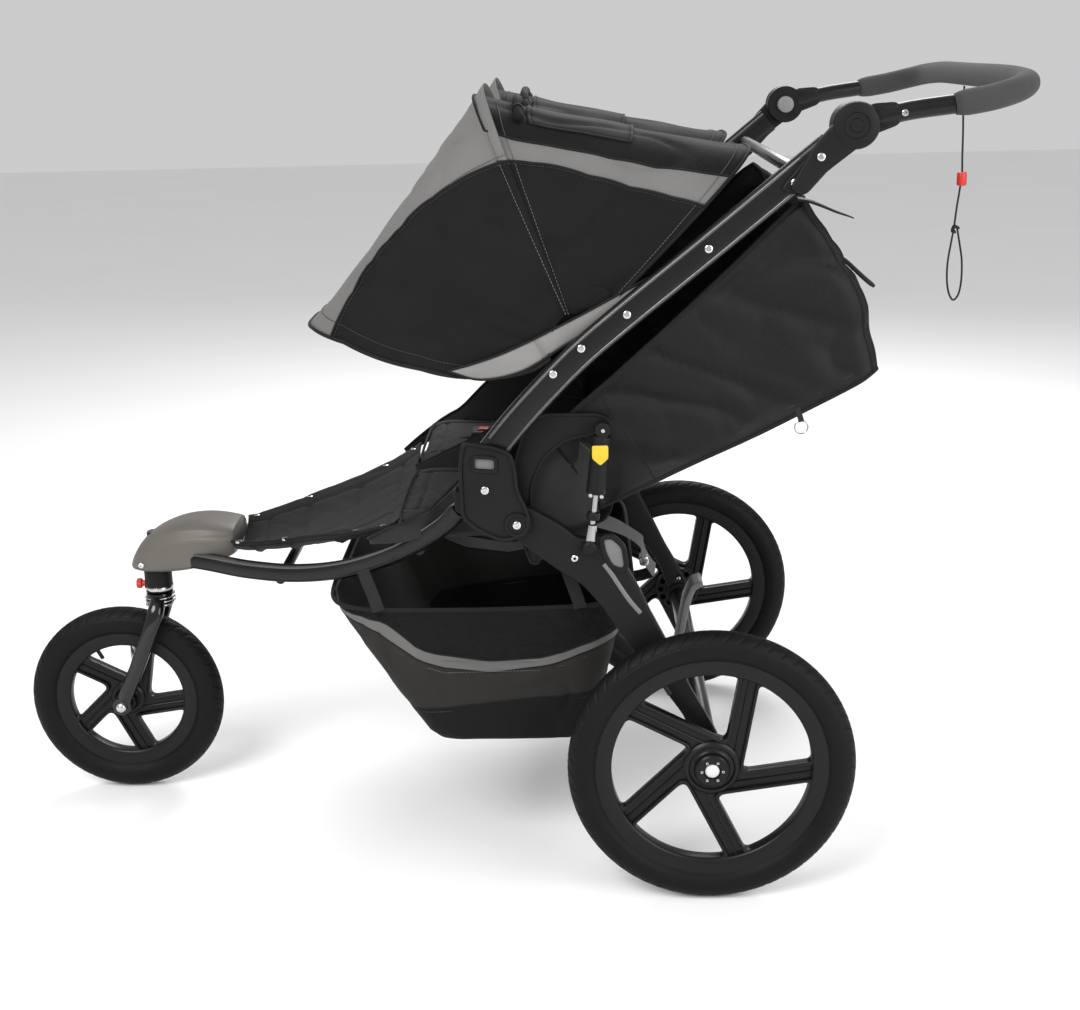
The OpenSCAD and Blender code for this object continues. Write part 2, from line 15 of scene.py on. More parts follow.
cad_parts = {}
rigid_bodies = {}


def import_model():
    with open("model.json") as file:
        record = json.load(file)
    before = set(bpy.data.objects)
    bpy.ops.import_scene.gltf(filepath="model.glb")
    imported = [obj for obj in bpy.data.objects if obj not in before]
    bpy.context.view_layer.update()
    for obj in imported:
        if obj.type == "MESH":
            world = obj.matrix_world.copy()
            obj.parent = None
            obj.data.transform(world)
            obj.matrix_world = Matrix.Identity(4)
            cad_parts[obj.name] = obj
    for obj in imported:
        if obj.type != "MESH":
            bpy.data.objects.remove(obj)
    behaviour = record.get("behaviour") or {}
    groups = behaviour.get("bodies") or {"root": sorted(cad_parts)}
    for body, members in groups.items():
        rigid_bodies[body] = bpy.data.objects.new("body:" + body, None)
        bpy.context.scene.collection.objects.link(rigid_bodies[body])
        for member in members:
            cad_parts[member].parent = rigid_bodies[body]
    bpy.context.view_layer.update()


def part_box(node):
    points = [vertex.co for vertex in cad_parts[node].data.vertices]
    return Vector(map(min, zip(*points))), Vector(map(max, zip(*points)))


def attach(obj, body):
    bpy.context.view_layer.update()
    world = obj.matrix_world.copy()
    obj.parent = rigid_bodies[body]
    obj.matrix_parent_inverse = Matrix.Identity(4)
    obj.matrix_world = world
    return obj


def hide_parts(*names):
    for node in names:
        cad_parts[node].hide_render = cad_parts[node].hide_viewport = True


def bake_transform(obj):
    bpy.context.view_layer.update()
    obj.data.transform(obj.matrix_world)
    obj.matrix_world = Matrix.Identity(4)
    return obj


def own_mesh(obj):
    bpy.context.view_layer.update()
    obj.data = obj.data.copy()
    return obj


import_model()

# %% [markdown]
# ## One ruler for everything
# A stroller is easiest to think about from its rear axle: so many millimetres forward, to the
# left, and up from the ground. The scene itself is in metres with its origin elsewhere, so one
# function turns workshop millimetres into scene metres. The axle's place is read from the model.

# %% From millimetres at the rear axle to scene metres
tyre_box = [np.array(corner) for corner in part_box("rear_tyre_left")]
AXLE_X = float(tyre_box[0][0] + tyre_box[1][0]) / 2
AXLE_SHIFT = np.array([AXLE_X, 0.0, 0.0])


def metres(points):
    return np.asarray(points, float) / 1000 + AXLE_SHIFT


def node_box(node):
    low, high = (np.array(corner) - AXLE_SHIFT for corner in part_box(node))
    return low * 1000, high * 1000


print("rear axle at", round(AXLE_X, 4), "m")

# %% [markdown]
# ## Camera and light
# The camera stands level with the handlebar on the stroller's left and looks slightly down.
# The light is a bright, soft room: a pale sky and three large area lamps, so that black
# surfaces show their shape by broad, gentle reflections.

# %% Camera
camera_data = bpy.data.cameras.new("camera")
camera = bpy.data.objects.new("camera", camera_data)
bpy.context.scene.collection.objects.link(camera)
bpy.context.scene.camera = camera
camera_data.lens = 51.26
camera_data.sensor_width = 36
camera_data.shift_x = -0.0112
camera_data.shift_y = -0.0174
camera_data.clip_end = 50
CAMERA_RIGHT = (-0.99966, -0.01297, -0.02272)
CAMERA_UP = (-0.01823, -0.27766, 0.96051)
CAMERA_BACK = (-0.01877, 0.96059, 0.27733)
turned = Matrix((CAMERA_RIGHT, CAMERA_UP, CAMERA_BACK)).transposed().to_4x4()
camera.matrix_world = Matrix.Translation(metres([176.6, 2352.9, 1187.7])) @ turned

# %% Lamps, sky and floor


def lamp(name, place, target, size, power):
    data = bpy.data.lights.new(name, "AREA")
    data.shape = "DISK"
    data.size = size
    data.energy = power
    obj = bpy.data.objects.new(name, data)
    obj.location = place
    obj.rotation_euler = (Vector(target) - Vector(place)).to_track_quat("-Z", "Y").to_euler()
    bpy.context.scene.collection.objects.link(obj)


lamp("key_lamp", (1.6, 2.6, 3.0), (0, 0, 0.5), 2.2, 130)
lamp("fill_lamp", (-2.6, 2.2, 1.6), (0, 0, 0.6), 2.4, 70)
lamp("back_lamp", (-0.6, -2.6, 2.8), (0, 0, 0.6), 2.2, 80)
print("lamps", len(bpy.data.lights))
world = bpy.data.worlds.new("pale_room")
bpy.context.scene.world = world
world.use_nodes = True
world.node_tree.nodes["Background"].inputs["Color"].default_value = (1, 1, 1, 1)
world.node_tree.nodes["Background"].inputs["Strength"].default_value = 0.6
bpy.context.scene.view_settings.view_transform = "Standard"

# %% [markdown]
# ## A small language for finishes
# A finish is a tree of shader nodes. Wrapping a socket in a class lets its arithmetic be
# written as ordinary Python, and one method makes any other node. Patterns read Object
# coordinates in metres, so a weave has its real size on every piece.

# %% Sockets that can be added and multiplied


class Socket:
    def __init__(self, tree, socket):
        self.tree = tree
        self.socket = socket

    def math(self, operation, *others):
        node = self.tree.nodes.new("ShaderNodeMath")
        node.operation = operation
        for place, item in zip(node.inputs, (self, *others)):
            feed(self.tree, place, item)
        return Socket(self.tree, node.outputs[0])

    def __add__(self, other):
        return self.math("ADD", other)

    def __mul__(self, other):
        return self.math("MULTIPLY", other)

    def __sub__(self, other):
        return self.math("SUBTRACT", other)

    def __rsub__(self, other):
        return self.math("MULTIPLY", -1).math("ADD", other)

    __radd__ = __add__
    __rmul__ = __mul__


def feed(tree, place, item):
    if isinstance(item, Socket):
        tree.links.new(item.socket, place)
    else:
        place.default_value = item


# %% A finish and the nodes it is made from


class Finish:
    def __init__(self, name):
        self.material = bpy.data.materials.new(name)
        self.material.use_nodes = True
        self.tree = self.material.node_tree
        self.shader = self.tree.nodes["Principled BSDF"]
        self.place = self.make("ShaderNodeTexCoord", output="Object")

    def make(self, kind, settings=(), inputs=(), output=0):
        node = self.tree.nodes.new(kind)
        for key, value in dict(settings).items():
            setattr(node, key, value)
        for key, value in dict(inputs).items():
            feed(self.tree, node.inputs[key], value)
        return Socket(self.tree, node.outputs[output])

    def set(self, **sockets):
        for key, value in sockets.items():
            feed(self.tree, self.shader.inputs[key.replace("_", " ")], value)
        return self

    def noise(self, scale, detail=3, roughness=0.55):
        return self.make("ShaderNodeTexNoise", (), {
            "Vector": self.place, "Scale": scale, "Detail": detail, "Roughness": roughness})

    def step(self, value, low, high, start=0.0, end=1.0):
        return self.make("ShaderNodeMapRange", {"clamp": True}, {
            "Value": value, "From Min": low, "From Max": high, "To Min": start, "To Max": end})

    def blend(self, factor, first, second):
        node = self.tree.nodes.new("ShaderNodeMix")
        node.data_type = "RGBA"
        colours = [item for item in node.inputs if item.type == "RGBA"]
        feed(self.tree, node.inputs[0], factor)
        feed(self.tree, colours[0], first)
        feed(self.tree, colours[1], second)
        return Socket(self.tree, next(o for o in node.outputs if o.type == "RGBA"))

    def bump(self, height, depth_mm, strength=1.0, before=None):
        inputs = {"Height": height, "Distance": depth_mm / 1000, "Strength": strength}
        if before is not None:
            inputs["Normal"] = before
        return self.make("ShaderNodeBump", (), inputs)

    def threads(self, pitch_mm):
        """A weave that shows on a face turned any way: crossed waves along three axes."""
        turns = math.tau * 1000 / pitch_mm
        split = self.tree.nodes.new("ShaderNodeSeparateXYZ")
        feed(self.tree, split.inputs[0], self.place)
        x, y, z = (Socket(self.tree, out).math("MULTIPLY", turns).math("SINE")
                   for out in split.outputs)
        return (x * y + y * z + z * x) * 0.33 + 0.5


def grey(level, warm=0.0):
    return (level * (1 + warm), level, level * (1 - warm), 1)


# %% [markdown]
# ## Hard finishes
# The tubes are satin black powder coat with a fine orange-peel skin, the fork is glossy, and
# the mouldings are black nylon with a spark-eroded grain. Each finish has a slow mottle in
# its roughness, where hands and dust have been, as well as its fine grain.

# %% Metal, plastic and rubber


def hard_finish(name, low, high, rough, grain_mm, depth_mm, metallic=0.0, coat=0.0, scuff=0.0,
                shine=0.3):
    finish = Finish(name)
    mottle = finish.noise(14, 4)
    grain = finish.noise(1000 / grain_mm, 2)
    worn = finish.step(finish.noise(38, 6, 0.7), 0.62, 0.74)
    colour = finish.blend(mottle, low, high)
    if scuff:
        brighter = tuple(min(1, c * 2.2 + 0.02) for c in high[:3]) + (1,)
        colour = finish.blend(worn * scuff, colour, brighter)
    finish.set(
        Base_Color=colour, Metallic=metallic, Coat_Weight=coat, Coat_Roughness=0.12,
        Specular_IOR_Level=shine,
        Roughness=mottle * 0.16 + worn * 0.1 + (rough - 0.1),
        Normal=finish.bump(grain, depth_mm),
    )
    return finish.material


BLACK_FRAME = hard_finish("black_powder_coat", grey(0.004), grey(0.009), 0.34, 0.9, 0.05,
                          coat=0.12, scuff=0.1, shine=0.18)
GLOSS_BLACK = hard_finish("gloss_black_enamel", grey(0.004), grey(0.007), 0.16, 2.5, 0.02, coat=0.5,
                          shine=0.2)
BLACK_NYLON = hard_finish("grained_black_nylon", grey(0.004), grey(0.009), 0.5, 0.6, 0.09, scuff=0.1,
                          shine=0.16)
RIM_NYLON = hard_finish("black_rim_moulding", grey(0.004), grey(0.008), 0.36, 0.7, 0.05, scuff=0.12,
                        shine=0.2)
NOSE_NYLON = hard_finish("grey_brown_moulding", (0.088, 0.08, 0.07, 1), (0.118, 0.108, 0.095, 1),
                         0.44, 0.7, 0.06, scuff=0.1)
GREY_NYLON = hard_finish("mid_grey_moulding", grey(0.11), grey(0.15), 0.46, 0.7, 0.07)
PALE_NYLON = hard_finish("pale_cap_moulding", grey(0.52), grey(0.6), 0.4, 0.8, 0.04)
ZINC = hard_finish("bright_zinc_plate", grey(0.5, 0.02), grey(0.66, 0.02), 0.26, 0.5, 0.03, metallic=1.0)
STEEL = hard_finish("grey_shock_steel", grey(0.3), grey(0.42), 0.24, 1.2, 0.02, metallic=1.0)
# Painted highlight: a lighter grey, half-metallic strip laid on the black rails where their edges would
# catch the light
RAIL_HIGHLIGHT = hard_finish("painted_rail_edge_highlight", grey(0.07), grey(0.12), 0.26, 0.6, 0.03, metallic=0.6)
WINDOW_VINYL = hard_finish("dark_clear_vinyl", grey(0.01), grey(0.018), 0.75, 20, 0.1, shine=0.06)
RED_NYLON = hard_finish("red_moulding", (0.42, 0.025, 0.02, 1), (0.52, 0.04, 0.03, 1), 0.36, 0.8, 0.04)
YELLOW_NYLON = hard_finish("plain_yellow_plate", (0.5, 0.36, 0.02, 1), (0.6, 0.44, 0.03, 1), 0.4, 0.8, 0.04)
TYRE_RUBBER = hard_finish("tyre_rubber", grey(0.003), grey(0.007), 0.56, 0.8, 0.12, scuff=0.22,
                          shine=0.12)
BUTTON_GREY = hard_finish("grey_button_moulding", grey(0.16), grey(0.2), 0.42, 0.7, 0.06)
print("hard finishes", len(bpy.data.materials))

# %% [markdown]
# ## Foam and cloth finishes
# The grip is closed-cell foam: matt, dark grey, with tiny pores. The cloths are coarse woven
# polyester. Crossed waves make the threads, a broad noise fades the dye a little where cloth
# is rubbed, and a low sheen lifts the edges, as fibre ends do.

# %% Foam, cloth, mesh and webbing


def cloth_finish(name, low, high, pitch_mm, depth_mm, rough=0.85, sheen=0.06, crumple_mm=0.0):
    finish = Finish(name)
    weave = finish.threads(pitch_mm)
    fade = finish.noise(9, 5, 0.6)
    fibre = finish.noise(900, 2)
    normal = finish.bump(weave + fibre * 0.35, depth_mm)
    if crumple_mm:
        normal = finish.bump(finish.noise(34, 3, 0.5), crumple_mm, before=normal)
    shade = fade * 0.7 + weave * 0.22 + fibre * 0.18 - 0.1
    finish.set(
        Base_Color=finish.blend(shade, low, high), Normal=normal,
        Roughness=weave * -0.1 + rough, Sheen_Weight=sheen, Sheen_Roughness=0.4,
        Specular_IOR_Level=0.12,
    )
    return finish


FOAM = Finish("grip_foam")
pores = FOAM.step(FOAM.noise(1500, 2), 0.35, 0.6)
FOAM.set(Base_Color=FOAM.blend(FOAM.noise(16, 4) * 0.6 + pores * 0.4, grey(0.028), grey(0.056)),
         Roughness=0.85, Sheen_Weight=0.1, Specular_IOR_Level=0.2,
         Normal=FOAM.bump(pores, 0.25))
GRIP_FOAM = FOAM.material
BLACK_CLOTH = cloth_finish("black_woven_polyester", grey(0.004), grey(0.011), 1.3, 0.18,
                           sheen=0.03, crumple_mm=0.9).material
bag_cloth = cloth_finish("black_coated_nylon", grey(0.002), grey(0.006), 1.3, 0.14, rough=0.52,
                         sheen=0.01, crumple_mm=1.6)
bag_cloth.set(Specular_IOR_Level=0.2)
BAG_CLOTH = bag_cloth.material
SEAT_CLOTH = cloth_finish("black_seat_cloth", grey(0.014), grey(0.032), 1.5, 0.2,
                          crumple_mm=0.4).material
GREY_CLOTH = cloth_finish("warm_grey_woven_polyester", grey(0.105, 0.02), grey(0.175, 0.02), 1.3,
                          0.18, crumple_mm=0.6).material
BAND_CLOTH = cloth_finish("dark_grey_basket_cloth", grey(0.014, 0.05), grey(0.03, 0.05), 1.6,
                          0.2, sheen=0.03, crumple_mm=0.5).material
SILVER_CLOTH = cloth_finish("silver_reflective_cloth", grey(0.14, 0.03), grey(0.24, 0.03), 1.0,
                            0.06, rough=0.45, sheen=0.05).material
STRIP_CLOTH = cloth_finish("grey_reflective_strip", grey(0.085, 0.02), grey(0.14, 0.02), 1.0,
                           0.06, rough=0.45, sheen=0.04).material
BINDING = cloth_finish("black_edge_binding", grey(0.008), grey(0.016), 0.9, 0.12).material
WEBBING = cloth_finish("black_ribbed_webbing", grey(0.012), grey(0.028), 2.2, 0.35).material
GREY_WEBBING = cloth_finish("grey_ribbed_webbing", grey(0.07), grey(0.12), 2.2, 0.35).material
RED_WEBBING = cloth_finish("red_ribbed_webbing", (0.28, 0.015, 0.02, 1), (0.4, 0.03, 0.03, 1),
                           2.2, 0.3).material
THREAD = cloth_finish("dark_sewing_thread", grey(0.03), grey(0.06), 0.6, 0.05).material
GREY_THREAD = cloth_finish("grey_sewing_thread", grey(0.08), grey(0.13), 0.6, 0.05).material

net = cloth_finish("black_basket_mesh", grey(0.004), grey(0.010), 2.4, 0.25, sheen=0.02)
net.set(Alpha=net.step(net.threads(2.4), 0.2, 0.42, 0.72, 1.0))
MESH_CLOTH = net.material
print("hard and soft finishes", len(bpy.data.materials))

# %% [markdown]
# ## The room
# The stroller stands on a plain pale sheet. It isn't part of the object, and it is large
# enough that no edge shows.

# %% Floor
floor_finish = Finish("pale_floor")
floor_finish.set(
    Base_Color=floor_finish.blend(floor_finish.noise(1.5), grey(0.86), grey(0.9)), Roughness=0.9)
floor_mesh = bpy.data.meshes.new("floor")
floor_mesh.from_pydata([(-14, -14, -0.001), (14, -14, -0.001), (14, 14, -0.001), (-14, 14, -0.001)],
                       [], [(0, 1, 2, 3)])
floor_mesh.materials.append(floor_finish.material)
floor = bpy.data.objects.new("floor", floor_mesh)
bpy.context.scene.collection.objects.link(floor)
print("floor", round(floor.dimensions.x), "m wide")
# %% [markdown]
# ## Shaping helpers
# Most parts come from four moves: skin a row of rings into a tube, turn a profile on a lathe,
# cut a plate from an outline and round its edges, and join pieces into one. Everything is
# described for the left side; the right side is the same list of points mirrored, with its
# faces turned over so that they still point outwards.

# %% Points and paths


def unit(v):
    v = np.asarray(v, float)
    return v / np.linalg.norm(v)


def smooth_path(points, steps):
    """A curve through all the points (Catmull-Rom), with that many steps between two of them."""
    p = np.asarray(points, float)
    p = np.vstack([2 * p[0] - p[1], p, 2 * p[-1] - p[-2]])
    out = []
    for i in range(1, len(p) - 2):
        for s in np.arange(steps) / steps:
            out.append(0.5 * (2 * p[i] + (p[i + 1] - p[i - 1]) * s
                              + (2 * p[i - 1] - 5 * p[i] + 4 * p[i + 1] - p[i + 2]) * s ** 2
                              + (3 * p[i] - p[i - 1] - 3 * p[i + 1] + p[i + 2]) * s ** 3))
    out.append(p[-2])
    return np.array(out)


def even_path(points, count):
    p = np.asarray(points, float)
    far = np.concatenate([[0], np.cumsum(np.linalg.norm(np.diff(p, axis=0), axis=1))])
    spots = np.linspace(0, far[-1], count)
    return np.stack([np.interp(spots, far, p[:, k]) for k in range(p.shape[1])], 1)


def round_section(rx, ry, count=24, power=1.0):
    a = np.arange(count) * math.tau / count
    c, s = np.cos(a), np.sin(a)
    return np.stack([rx * np.sign(c) * abs(c) ** power, ry * np.sign(s) * abs(s) ** power], 1)


def rounded(outline, radius, steps=5):
    """The outline with each corner replaced by a small curve."""
    p = np.asarray(outline, float)
    out = []
    for before, here, after in zip(np.roll(p, 1, 0), p, np.roll(p, -1, 0)):
        a, b = before - here, after - here
        cut = min(radius, 0.45 * np.linalg.norm(a), 0.45 * np.linalg.norm(b))
        start, end = here + unit(a) * cut, here + unit(b) * cut
        for s in np.linspace(0, 1, steps):
            out.append((1 - s) ** 2 * start + 2 * s * (1 - s) * here + s ** 2 * end)
    return np.array(out)


def even_turns(count):
    """Angles of one whole turn in equal steps."""
    return np.linspace(0, math.tau, count + 1)[:-1]


def circle(radius, count, centre=(0, 0)):
    """A ring of (x, z) points for an outline."""
    return np.array([[centre[0] + radius * math.cos(a), centre[1] + radius * math.sin(a)]
                     for a in even_turns(count)])


def oblong(x0, z0, x1, z1):
    return [[x0, z0], [x1, z0], [x1, z1], [x0, z1]]


def on_axis(place):
    """An (x, z) place as a point in the stroller's middle plane."""
    return [place[0], 0, place[1]]


def beside_path(path, up):
    """The sideways direction at each point of a path."""
    last = len(path) - 1
    return np.array([unit(np.cross(up, path[min(i + 1, last)] - path[max(i - 1, 0)]))
                     for i in range(last + 1)])


print("a test path has", len(smooth_path([[0, 0, 0], [1, 0, 0], [2, 1, 0]], 4)), "points")

# %% From points to a finished object


def piece(name, points, faces, finish, right=False, sharp=40, close=False):
    """A mesh object from millimetre points. close recalculates the normals of a closed form."""
    p = np.array(points, float)
    if right:
        p[:, 1] *= -1
    mesh = bpy.data.meshes.new(name)
    mesh.from_pydata(metres(p).tolist(), [], [list(map(int, f)) for f in faces])
    mesh.materials.append(finish)
    work = bmesh.new()
    work.from_mesh(mesh)
    if right:
        bmesh.ops.reverse_faces(work, faces=work.faces)
    if close:
        bmesh.ops.remove_doubles(work, verts=work.verts, dist=1e-6)
        bmesh.ops.recalc_face_normals(work, faces=work.faces)
    for face in work.faces:
        face.smooth = True
    work.to_mesh(mesh)
    work.free()
    if sharp:
        mesh.set_sharp_from_angle(angle=math.radians(sharp))
    obj = bpy.data.objects.new(name, mesh)
    bpy.context.scene.collection.objects.link(obj)
    return obj


def ring_faces(rows, count, closed=True, loop=False):
    faces = []
    for i in range(rows if loop else rows - 1):
        for k in range(count if closed else count - 1):
            a, b = i * count + k, i * count + (k + 1) % count
            c, d = (i + 1) % rows * count + (k + 1) % count, (i + 1) % rows * count + k
            faces.append((a, b, c, d))
    return faces


def skin(name, rings, finish, right=False, sharp=40, loop=False):
    """A closed tube over a row of rings, with its ends capped unless it is a loop."""
    rings = np.asarray(rings, float)
    rows, count = rings.shape[:2]
    faces = ring_faces(rows, count, True, loop)
    if not loop:
        faces.append(tuple(range(count))[::-1])
        faces.append(tuple((rows - 1) * count + k for k in range(count)))
    return piece(name, rings.reshape(-1, 3), faces, finish, right, sharp, close=True)


def rings_along(path, section, up, sizes=None):
    """Rings of a section (across, along up) on a path; sizes scales each ring."""
    path = np.asarray(path, float)
    rings = []
    for i, here in enumerate(path):
        t = unit(path[min(i + 1, len(path) - 1)] - path[max(i - 1, 0)])
        u = unit(np.cross(up, t))
        v = np.cross(t, u)
        size = 1.0 if sizes is None else sizes[i]
        rings.append([here + size * (a * u + b * v) for a, b in section])
    return np.array(rings)


def tube(name, path, section, up, finish, right=False, sizes=None, sharp=40):
    return skin(name, rings_along(path, section, up, sizes), finish, right, sharp)


def rounded_bar(name, start, end, r, finish, right=False, edge=1.5, count=28):
    """A round bar whose ends have a small rounded edge."""
    start, end = np.asarray(start, float), np.asarray(end, float)
    t = unit(end - start)
    edge = min(edge, r * 0.6)
    stops = [(0, r - edge), (edge * 0.3, r - edge * 0.3), (edge, r)]
    long = np.linalg.norm(end - start)
    stops += [(long - s, q) for s, q in reversed(stops)]
    up = (0, 0, 1) if abs(t[2]) < 0.9 else (1, 0, 0)
    u = unit(np.cross(up, t))
    v = np.cross(t, u)
    rings = [[start + t * s + q * (a * u + b * v) for a, b in round_section(1, 1, count)]
             for s, q in stops]
    return skin(name, rings, finish, right)


def cross_bar(name, place, y0, y1, r, finish, right=False, edge=1.5):
    return rounded_bar(name, [place[0], y0, place[1]], [place[0], y1, place[1]], r, finish,
                       right, edge)


def lathe(name, profile, centre, finish, right=False, count=64, loop=False, axis="y", sharp=35):
    """Turns a profile of (radius, along the axis) round a crossways or an upright axis."""
    rings = []
    for radius, along in profile:
        a = np.arange(count) * math.tau / count
        c, s, flat = radius * np.cos(a), radius * np.sin(a), np.full(count, float(along))
        rings.append(np.stack([c, flat, s] if axis == "y" else [c, s, flat], 1) + centre)
    return skin(name, rings, finish, right, sharp, loop)


def plate(name, outlines, y0, y1, finish, right=False, edge=1.2):
    """A plate cut from outlines of (x, z), the later ones being holes, with rounded edges."""
    curve = bpy.data.curves.new(name, "CURVE")
    curve.dimensions = "2D"
    curve.fill_mode = "BOTH"
    for outline in outlines:
        spline = curve.splines.new("POLY")
        spline.points.add(len(outline) - 1)
        for point, (x, z) in zip(spline.points, outline):
            point.co = (x, z, 0, 1)
        spline.use_cyclic_u = True
    curve.extrude = abs(y1 - y0) / 2 - edge
    curve.bevel_depth = edge
    curve.bevel_resolution = 2
    curve.offset = -edge
    holder = bpy.data.objects.new(name + "_outline", curve)
    bpy.context.scene.collection.objects.link(holder)
    mesh = bpy.data.meshes.new_from_object(
        holder.evaluated_get(bpy.context.evaluated_depsgraph_get()))
    flat = np.array([v.co for v in mesh.vertices])
    faces = [tuple(p.vertices) for p in mesh.polygons]
    bpy.data.objects.remove(holder)
    bpy.data.curves.remove(curve)
    bpy.data.meshes.remove(mesh)
    points = np.stack([flat[:, 0], (y0 + y1) / 2 - flat[:, 2], flat[:, 1]], 1)
    return piece(name, points, faces, finish, right, close=True)


def joined(name, parts):
    """One object from several; each part keeps its own finish."""
    bpy.ops.object.select_all(action="DESELECT")
    for part in parts:
        part.select_set(True)
    bpy.context.view_layer.objects.active = parts[0]
    with bpy.context.temp_override(active_object=parts[0], selected_editable_objects=parts):
        bpy.ops.object.join()
    parts[0].name = name
    parts[0].data.name = name
    return parts[0]


SIDES = (("left", False), ("right", True))


def hand_over(obj, body, slot, *nodes):
    """The piece rides on a body and takes the place of CAD nodes. slot is not used."""
    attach(obj, body)
    if nodes:
        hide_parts(*nodes)
    print(obj.name, "rides on", body)
    return obj


# %% [markdown]
# ## Repeated small things
# Screw heads and stitches repeat in their hundreds, so Geometry Nodes place them. One tree
# sets a socket-headed screw on every point it is given; another walks along a line and lays a
# stitch at each step. Each tree ends in real geometry with its finish, ready to be a mesh.

# %% A tree builder for Geometry Nodes


class Garden:
    """A Geometry Nodes tree with named inputs."""

    def __init__(self, name, inputs):
        self.tree = bpy.data.node_groups.new(name, "GeometryNodeTree")
        face = self.tree.interface
        face.new_socket("Geometry", in_out="INPUT", socket_type="NodeSocketGeometry")
        face.new_socket("Geometry", in_out="OUTPUT", socket_type="NodeSocketGeometry")
        self.ids = {}
        for key, kind in inputs.items():
            socket = face.new_socket(key, in_out="INPUT", socket_type="NodeSocket" + kind)
            self.ids[key] = socket.identifier
        self.start = self.tree.nodes.new("NodeGroupInput")
        self.end = self.tree.nodes.new("NodeGroupOutput")

    def input(self, key):
        return self.start.outputs[key]

    def make(self, kind, settings=(), inputs=()):
        node = self.tree.nodes.new(kind)
        for key, value in dict(settings).items():
            setattr(node, key, value)
        for key, value in dict(inputs).items():
            place = node.inputs[key]
            if isinstance(value, bpy.types.NodeSocket):
                self.tree.links.new(value, place)
            else:
                place.default_value = value
        return node

    def finish(self, instances):
        real = self.make("GeometryNodeRealizeInstances", (), {"Geometry": instances})
        painted = self.make("GeometryNodeSetMaterial", (), {
            "Geometry": real.outputs[0], "Material": self.input("Finish")})
        self.tree.links.new(painted.outputs[0], self.end.inputs[0])

    def grow(self, name, points, edges, finish, right=False, **sizes):
        """Runs the tree on points and edges in millimetres and gives back a plain object."""
        p = np.array(points, float)
        if right:
            p[:, 1] *= -1
        seed = bpy.data.meshes.new(name + "_seed")
        seed.from_pydata(metres(p).tolist(), edges, [])
        obj = bpy.data.objects.new(name, seed)
        bpy.context.scene.collection.objects.link(obj)
        nodes = obj.modifiers.new("nodes", "NODES")
        nodes.node_group = self.tree
        nodes[self.ids["Finish"]] = finish
        for key, value in sizes.items():
            nodes[self.ids[key]] = value
        depsgraph = bpy.context.evaluated_depsgraph_get()
        mesh = bpy.data.meshes.new_from_object(obj.evaluated_get(depsgraph))
        obj.modifiers.remove(nodes)
        obj.data = mesh
        mesh.name = name
        if not mesh.materials:
            mesh.materials.append(finish)
        for poly in mesh.polygons:
            poly.use_smooth = True
        mesh.set_sharp_from_angle(angle=math.radians(35))
        return obj


# %% Screw heads and stitches
screws = Garden("screw_heads", {"Radius": "Float", "Height": "Float", "Lean": "Vector",
                                "Finish": "Material"})
head = screws.make("GeometryNodeMeshCylinder", {"fill_type": "NGON"}, {
    "Vertices": 18, "Radius": screws.input("Radius"), "Depth": screws.input("Height")})
dome = screws.make("GeometryNodeExtrudeMesh", {"mode": "FACES"}, {
    "Mesh": head.outputs["Mesh"], "Selection": head.outputs["Top"], "Offset Scale": 0.0006})
narrow = screws.make("GeometryNodeScaleElements", {"domain": "FACE"}, {
    "Geometry": dome.outputs["Mesh"], "Selection": dome.outputs["Top"], "Scale": 0.82})
rim_edge = screws.make("GeometryNodeExtrudeMesh", {"mode": "FACES"}, {
    "Mesh": narrow.outputs[0], "Selection": dome.outputs["Top"], "Offset Scale": 0.0})
mouth = screws.make("GeometryNodeScaleElements", {"domain": "FACE"}, {
    "Geometry": rim_edge.outputs["Mesh"], "Selection": rim_edge.outputs["Top"], "Scale": 0.55})
socket_hole = screws.make("GeometryNodeExtrudeMesh", {"mode": "FACES"}, {
    "Mesh": mouth.outputs[0], "Selection": rim_edge.outputs["Top"], "Offset Scale": -0.0015})
spots = screws.make("GeometryNodeMeshToPoints", (), {"Mesh": screws.input("Geometry")})
heads = screws.make("GeometryNodeInstanceOnPoints", (), {
    "Points": spots.outputs[0], "Instance": socket_hole.outputs["Mesh"]})
leaning = screws.make("GeometryNodeRotateInstances", (), {
    "Instances": heads.outputs[0], "Rotation": screws.input("Lean")})
screws.finish(leaning.outputs[0])

stitches = Garden("stitches", {"Step": "Float", "Length": "Float", "Thickness": "Float",
                               "Finish": "Material"})
line = stitches.make("GeometryNodeMeshToCurve", (), {"Mesh": stitches.input("Geometry")})
walk = stitches.make("GeometryNodeResampleCurve", {"mode": "LENGTH"}, {
    "Curve": line.outputs[0], "Length": stitches.input("Step")})
tangent = stitches.make("GeometryNodeInputTangent")
facing = stitches.make("FunctionNodeAlignRotationToVector", {"axis": "Z"}, {
    "Vector": tangent.outputs[0]})
thread = stitches.make("GeometryNodeMeshCylinder", {"fill_type": "TRIANGLE_FAN"}, {
    "Vertices": 6, "Radius": stitches.input("Thickness"), "Depth": stitches.input("Length")})
sewn = stitches.make("GeometryNodeInstanceOnPoints", (), {
    "Points": walk.outputs[0], "Instance": thread.outputs["Mesh"],
    "Rotation": facing.outputs[0]})
stitches.finish(sewn.outputs[0])
print("trees", screws.tree.name, "and", stitches.tree.name)

SEW_STEP, STITCH_LENGTH, THREAD_RADIUS = 0.005, 0.0034, 0.0005


def sewn_line(name, points, finish=THREAD, right=False):
    """A row of stitches along points in millimetres."""
    edges = [(i, i + 1) for i in range(len(points) - 1)]
    return stitches.grow(name, points, edges, finish, right, Step=SEW_STEP,
                         Length=STITCH_LENGTH, Thickness=THREAD_RADIUS)


def screw_row(name, points, finish=ZINC, right=False, radius=0.005, height=0.0024):
    lean = (math.pi / 2, 0, 0) if right else (-math.pi / 2, 0, 0)
    return screws.grow(name, points, [], finish, right, Radius=radius, Height=height, Lean=lean)


